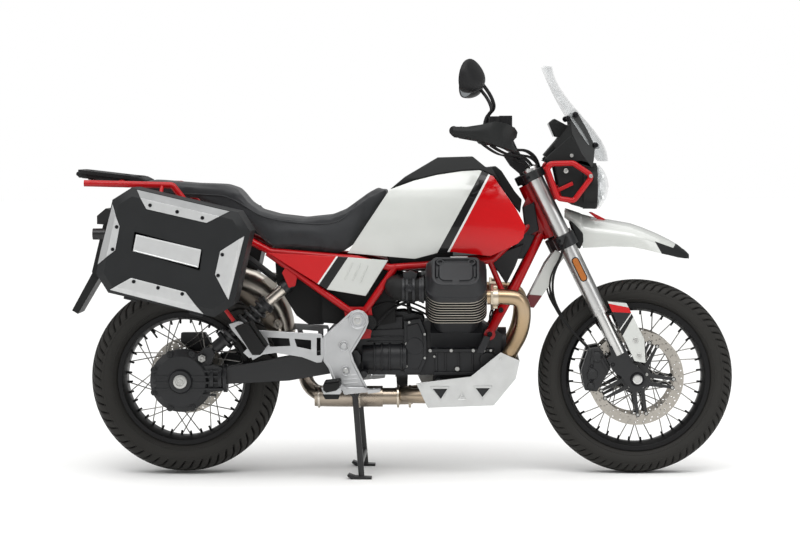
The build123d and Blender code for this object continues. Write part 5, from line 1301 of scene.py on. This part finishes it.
# Nose: twin round lamps in a black housing between red steel loops, a hooded display and a clear screen.
dressed("headlight_body", "steering", "plastic_black", guard_plastic, 2.0)
dressed("headlight_guard", "steering", "frame_red", frame_red, 0.8)
dressed("cockpit_fairing", "steering", "plastic_black", guard_plastic, 2.5)
bm = bmesh.new()
prism(bm, [(494, 1188), (511, 1202), (563, 1174), (567, 1155), (485, 1071), (475, 1080), (526, 1140),
           (514, 1141)], side_view(-70, 1), 140)
display = edged(piece_from("display_hood", bm, "steering", "display_black", guard_plastic), 3.0, 30, 3)
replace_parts(display, "instrument")
bm = bmesh.new()
flank(bm, [(508, 1046), (645, 1048), (647, 899), (606, 903), (566, 914), (540, 930), (526, 960)], 111, 13)
flank(bm, [(520, 1049), (548, 1060), (600, 1066), (645, 1052), (645, 1036), (530, 1036)], 60, 66)
flank(bm, [(470, 1062), (530, 1066), (602, 1068), (630, 1050), (500, 1048)], 100, 22)
flank(bm, [(474, 1066), (565, 1149), (637, 1046), (628, 1036), (572, 1052), (483, 1058)], 116, 10)
both_sides(bm)
edged(piece_from("lamp_housing", bm, "steering", "plastic_black", guard_plastic), 5, 28, 4)
strip_black = moulded("smoked_screen_strip", "#2c2d2d", 0.4, 1.0, 0.05, 0.3)
bm = bmesh.new()
flank(bm, [(560, 1206), (586, 1220), (618, 1164), (644, 1108), (640, 1062), (634, 1036), (600, 1082),
           (567, 1152)],
      121, 6)
both_sides(bm)
edged(piece_from("screen_strips", bm, "steering", "display_black", strip_black), 1.5, 30, 3)
bm = bmesh.new()
for side in (-1, 1):
    for x, z in ((578, 1214), (644, 1112), (556, 1202)):
        drum(bm, (x, side * 125, z), (0.35 if z < 1150 else 0.2, side, 0.1), 0, 8, 10, 8.5, 28)
        screw(bm, (x + 2, side * 133, z), (0.2, side, 0.1), 6, 3, 20)
piece_from("screen_screws", bm, "steering", "control_black", screw_black)
bm = bmesh.new()
for side in (-1, 1):
    for x, z, y, radius in ((547, 1027, 126, 8), (566, 1078, 128, 6), (628, 1010, 164, 6.5)):
        screw(bm, (x, side * y, z), (0, side, 0), radius, 4, 24)
piece_from("lamp_screws", bm, "steering", "plate_alloy", screw_bright)
bm = bmesh.new()
flank(bm, [(516, 968), (568, 992), (572, 980), (518, 954)], 124, 12)
flank(bm, [(470, 1036), (496, 1060), (508, 1050), (486, 1022)], 146, 14)
both_sides(bm)
edged(piece_from("lamp_brackets", bm, "steering", "frame_red", frame_red), 2.0)
bm = bmesh.new()
prism(bm, [(491, 1186), (510, 1141), (514, 1141), (496, 1188)], side_view(-64, 1), 128)
display_glass = painted("display_glass", "#060708", 0.06, 1.0, 0.0)
edged(piece_from("display_face", bm, "steering", "display_black", display_glass), 2.0)


def clear_plastic(name, tint, alpha, rough=0.05):
    """Clear polycarbonate sheet: nearly invisible face on, with bright reflections and faintly grey edges."""
    values = {"Alpha": alpha, "IOR": 1.58, "Coat Weight": 1.0, "Coat Roughness": 0.03}
    return surface(name, values, linear(tint), toned(tint, 0.9), 30.0, gloss=(rough, rough * 2))


screen_clear = clear_plastic("clear_polycarbonate", "#c3c7c8", 0.28)
bm = solid_of("windscreen")
screen = edged(piece_from("clear_screen", bm, "steering", "screen_clear", screen_clear, smooth=50), 0.5)
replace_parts(screen, "windscreen")
LAMP_Z = 973
lamp_glass = clear_plastic("clear_lamp_glass", "#dfe3e4", 0.25)
bm = solid_of("headlight_lenses")
lens = piece_from("lamp_lenses", bm, "steering", "lamp_glass", lamp_glass, smooth=50)
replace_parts(lens, "headlight_lenses")
bm = bmesh.new()
for side in (-1, 1):
    known = set(bm.verts)
    bowl = bmesh.ops.create_circle(bm, cap_ends=True, radius=68, segments=56)["verts"]
    face = bowl[0].link_faces[0]
    stepped(bm, face, (4, 6), (12, -3), (4, 2), (18, -2), (3, 5))
    placed(bm, known, toward((653, side * 72, LAMP_Z), (1, 0, 0)))
reflector = cast_metal("metallised_reflector", "#9ea1a3", 0.12, 1.0, 0.02)
piece_from("lamp_bowls", bm, "steering", "lamp_glass", reflector)
bm = bmesh.new()
for side in (-1, 1):
    for x, y, up, wide, tall, corner, thick in ((666, 108, 35, 12, 50, 4, 8), (664, 66, 30, 34, 28, 6, 10)):
        for rise in (-up, up):
            place = toward((x, side * y, LAMP_Z + rise), (1, 0, 0)) @ Matrix.Rotation(pi / 2, 4, "Z")
            prism(bm, cornered(wide, tall, corner, corner, 3), place, thick)
light_guide = painted("frosted_light_guide", "#e4e6e6", 0.3, 0.4, 0.05)
edged(piece_from("lamp_guides", bm, "steering", "lamp_glass", light_guide), 1.5, 30, 3)

# ---------------------------------------------------------------- tank, seat and tail
# A pressed steel tank in pearl white with a red nose, parted by a slanting black stripe with a fine white
# edge, under a deep, even clear coat. A grained black cover runs over its spine, and side covers follow it.
STRIPE = ((240, 979), (117, 755)), ((268, 979), (150, 757)), ((276, 979), (159, 760))
COVER_STRIPE = ((-216, 751), (-283, 654)), ((-209, 751), (-276, 654)), ((-176, 748), (-250, 638))

bm = solid_of("fuel_tank")
bmesh.ops.triangulate(bm, faces=bm.faces)
striped(bm, STRIPE)
tank = edged(piece_from("tank_shell", bm, "chassis", "tank_paint", body_white, stripe_black, stripe_white,
                        tank_red, smooth=50), 3.0, 40, 3)
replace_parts(tank, "fuel_tank")
dressed("tank_cover", "chassis", "plastic_black", guard_plastic, 4.0)

bm = solid_of("side_covers")
striped(bm, COVER_STRIPE)
covers = edged(piece_from("painted_side_covers", bm, "chassis", "tank_paint", tank_red, stripe_white,
                          stripe_black, body_white), 1.5)
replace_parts(covers, "side_covers")
bm = bmesh.new()
for x, z in ((-166, 722), (-140, 719), (-115, 713)):
    flank(bm, [(x - 3, z), (x + 3, z + 3), (x - 22, z - 54), (x - 28, z - 57)], 150, 2.4)
both_sides(bm)
edged(piece_from("side_cover_ribs", bm, "chassis", "tank_paint", body_white), 1.6, 30, 3)

# The seat: moulded foam under a grained cover, wider and higher for the passenger. Air pressure in a cloth
# simulation rounds it as the foam does. Sewn piping parts the top from the side panels.
SEAT_VOXEL = 0.006
SEAT_SHRINK = 0.0045
SEAT_SWELL = 0.010


def leathercloth(name, colour, rough=0.62):
    """Coated seat fabric: a calfskin grain of 1.6 mm, matt, with a soft sheen where it curves away."""
    values = {"Specular IOR Level": 0.3, "Sheen Weight": 0.15, "Sheen Roughness": 0.5}
    gloss = (rough - 0.08, rough + 0.1)
    material = surface(name, values, linear(colour), toned(colour, 1.45), 7.0, 4.0, gloss)
    cells = pattern(material, "TexVoronoi", {"Scale": 620.0}, feature="DISTANCE_TO_EDGE")
    creases = add(material.node_tree, "MapRange", {"Value": cells.outputs["Distance"], "From Max": 0.12})
    return bumped(material, creases, 0.22, 0.0004)


def remeshed(name, source, voxel):
    """An even skin of small faces over a mesh."""
    held = bpy.data.objects.new(name, source)
    bpy.context.scene.collection.objects.link(held)
    skin = held.modifiers.new("skin", "REMESH")
    skin.mode = "VOXEL"
    skin.voxel_size = voxel
    mesh = bpy.data.meshes.new_from_object(held.evaluated_get(bpy.context.evaluated_depsgraph_get()))
    bpy.data.objects.remove(held)
    return mesh


def inflated(mesh, swell):
    """Lets air pressure round a closed skin. No point moves further than swell."""
    start = [vert.co.copy() for vert in mesh.vertices]
    held = bpy.data.objects.new("foam", mesh)
    bpy.context.scene.collection.objects.link(held)
    cloth = held.modifiers.new("cover", "CLOTH")
    cloth.settings.use_pressure = True
    cloth.settings.uniform_pressure_force = 4.0
    cloth.settings.effector_weights.gravity = 0.0
    cloth.settings.quality = 4
    for number in range(1, 21):
        bpy.context.scene.frame_set(number)
    blown = bpy.data.meshes.new_from_object(held.evaluated_get(bpy.context.evaluated_depsgraph_get()))
    bpy.data.objects.remove(held)
    for vert, at in zip(blown.vertices, start):
        moved = vert.co - at
        if moved.length > swell:
            vert.co = at + moved * (swell / moved.length)
    bpy.context.scene.frame_set(1)
    return blown


seat_cloth = leathercloth("grained_leathercloth", "#1d1e20")
bm = solid_of("seat")
bmesh.ops.scale(bm, vec=(0.001, 0.001, 0.001), verts=bm.verts)
blank = bpy.data.meshes.new("seat_blank")
bm.to_mesh(blank)
bm.free()
skin = remeshed("seat_blank", blank, SEAT_VOXEL)
bm = bmesh.new()
bm.from_mesh(skin)
evened(bm, bm.verts, 3)
bm.normal_update()
for vert in bm.verts:
    vert.co -= vert.normal * SEAT_SHRINK
bm.to_mesh(skin)
bm.free()
skin = inflated(skin, SEAT_SWELL)
bm = bmesh.new()
bm.from_mesh(skin)
evened(bm, bm.verts, 4)
bmesh.ops.scale(bm, vec=(1000, 1000, 1000), verts=bm.verts)
for face in bm.faces:
    face.material_index = 0
cushion_form = BVHTree.FromBMesh(bm)
cushion = piece_from("seat_cushion", bm, "chassis", "seat_cover", seat_cloth, smooth=80)
soft = cushion.modifiers.new("soft", "SUBSURF")
soft.levels = soft.render_levels = 1
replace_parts(cushion, "seat")


def sewn(name, route, thick, side):
    """Piping sewn along a side-view route on the cushion's flank."""
    points = []
    for x, z in route:
        hit = cushion_form.ray_cast(Vector((x, side * 400, z)), Vector((0, -side, 0)))[0]
        if hit:
            points.append((hit.x, hit.y + side * thick * 0.1, hit.z))
    hose(name, points, thick, "chassis", seat_cloth)


PIPING = ((-600, 948), (-560, 934), (-520, 908), (-482, 884), (-440, 871), (-400, 863), (-345, 856),
          (-287, 852), (-250, 853), (-215, 860), (-185, 880), (-153, 918))
TAIL_PIPING = ((-600, 948), (-660, 952), (-720, 955), (-780, 960), (-840, 968))
for side, label in ((-1, "right"), (1, "left")):
    sewn("piping_" + label, PIPING, 4.5, side)
    sewn("tail_piping_" + label, TAIL_PIPING, 4.0, side)

dressed("rear_fender", "chassis", "plastic_black", guard_plastic, 1.5)
lamp_housing = moulded("smoked_lamp_housing", "#0f0f10", 0.3, 1.0, 0.05, 0.5)
bm = solid_of("rear_lamps")
lamp_red = painted("red_lamp_lens", "#7d0a0e", 0.12, 1.0, 0.02)
for face in bm.faces:
    face.material_index = int(abs(face.calc_center_median().y) < 60 and face.normal.x < -0.3)
lamps = edged(piece_from("tail_lamp_and_indicators", bm, "chassis", "lamp_red", lamp_housing, lamp_red), 2.0)
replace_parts(lamps, "rear_lamps")

# ---------------------------------------------------------------- side cases
# Grained black cases whose outer lids carry four pressed aluminium guard plates, each held by black screws,
# and a plain brushed badge plate. Hinges below and a latch above join each lid to its shell. Where the
# plates turn up or down over the lid's top, a darker alloy stands for painted shade.
GUARDS = (
    [(-846, 974), (-547, 903), (-619, 868), (-812, 913)],
    [(-923, 928), (-899, 858), (-914, 781), (-976, 733)],
    [(-934, 654), (-864, 692), (-689, 646), (-634, 575)],
    [(-500, 825), (-552, 621), (-593, 702), (-576, 777)],
)
GUARD_SCREWS = ((-800, 925), (-713, 904), (-632, 884), (-908, 856), (-922, 784), (-855, 680), (-777, 660),
                (-699, 640), (-569, 766), (-583, 699))
BADGE = [(-846, 832), (-637, 782), (-647, 724), (-857, 778)]
BADGE_CENTRE = (-741.75, 778.75)
LID_FACE = 456.5


def plated(node, outlines, thick, reach, side):
    """Sheet pressed over a node's outer skin, cut to side-view outlines, with its own thickness."""
    sheet = bmesh.new()
    for outline in outlines:
        bm = solid_of(node)
        middle = Vector((sum(x for x, _ in outline), 0, sum(z for _, z in outline))) / len(outline)
        for (x0, z0), (x1, z1) in zip(outline, outline[1:] + outline[:1]):
            across = Vector((z1 - z0, 0, x0 - x1)).normalized()
            if across.dot(middle - Vector((x0, 0, z0))) < 0:
                across = -across
            bmesh.ops.bisect_plane(bm, geom=whole(bm), dist=0.01,
                                   plane_co=(x0, 0, z0), plane_no=across, clear_inner=True)
        inward = [f for f in bm.faces if f.normal.y * side < 0.15 or f.calc_center_median().y * side < reach]
        bmesh.ops.delete(bm, geom=inward, context="FACES")
        kept = bpy.data.meshes.new("cut_sheet")
        bm.to_mesh(kept)
        bm.free()
        sheet.from_mesh(kept)
        bpy.data.meshes.remove(kept)
    sheet.normal_update()
    bmesh.ops.solidify(sheet, geom=sheet.faces[:], thickness=-thick)
    return sheet


case_plastic = moulded("grained_case_plastic", "#1b1c1d", 0.52, 1.4, 0.3)
guard_alloy = cast_metal("pressed_guard_alloy", "#d0d1d1", 0.45, 1.0, 0.1)
# A darker alloy for the plates' faces that turn up or down over the lids' top: painted shade.
painted_shade_fold_alloy = cast_metal("guard_fold_painted_shade", "#8f9090", 0.5, 1.0, 0.1)
for side, label in ((-1, "right"), (1, "left")):
    lid_body = "pannier_lid_" + label
    dressed("pannier_shell_" + label, "chassis", "case_black", case_plastic, 3.0)
    dressed("pannier_lid_" + label, lid_body, "case_black", case_plastic, 4.0)
    sheet = plated("pannier_lid_" + label, GUARDS, 2.2, 405, side)
    # Faces tilted up or down above the lids' middle take the darker alloy: painted shade.
    for face in sheet.faces:
        face.material_index = int(abs(face.normal.z) > 0.2 and face.calc_center_median().z > 820)
    edged(piece_from("guard_plates_" + label, sheet, lid_body, "plate_alloy", guard_alloy, painted_shade_fold_alloy), 0.8)
    bm = bmesh.new()
    badge = prism(bm, BADGE, side_view(side * LID_FACE, side), 3.5)
    stepped(bm, badge, (4, 0), (1.5, -1.2))
    edged(piece_from("badge_plate_" + label, bm, lid_body, "plate_alloy", guard_alloy), 1.2)
    bm = bmesh.new()
    for x, z in GUARD_SCREWS:
        screw(bm, (x, side * (LID_FACE + 2.1), z), (0, side, 0), 6, 3.2, 20)
    piece_from("guard_screws_" + label, bm, lid_body, "case_black", screw_black)
    bm = bmesh.new()
    rim_x, rim_z = BADGE_CENTRE
    rim = prism(bm, [(rim_x + (x - rim_x) * 1.06, rim_z + (z - rim_z) * 1.2) for x, z in BADGE],
                side_view(side * (LID_FACE + 0.1), side), 1.4)
    stepped(bm, rim, (2.5, -1))
    edged(piece_from("badge_recess_" + label, bm, lid_body, "case_black", case_plastic), 0.8)
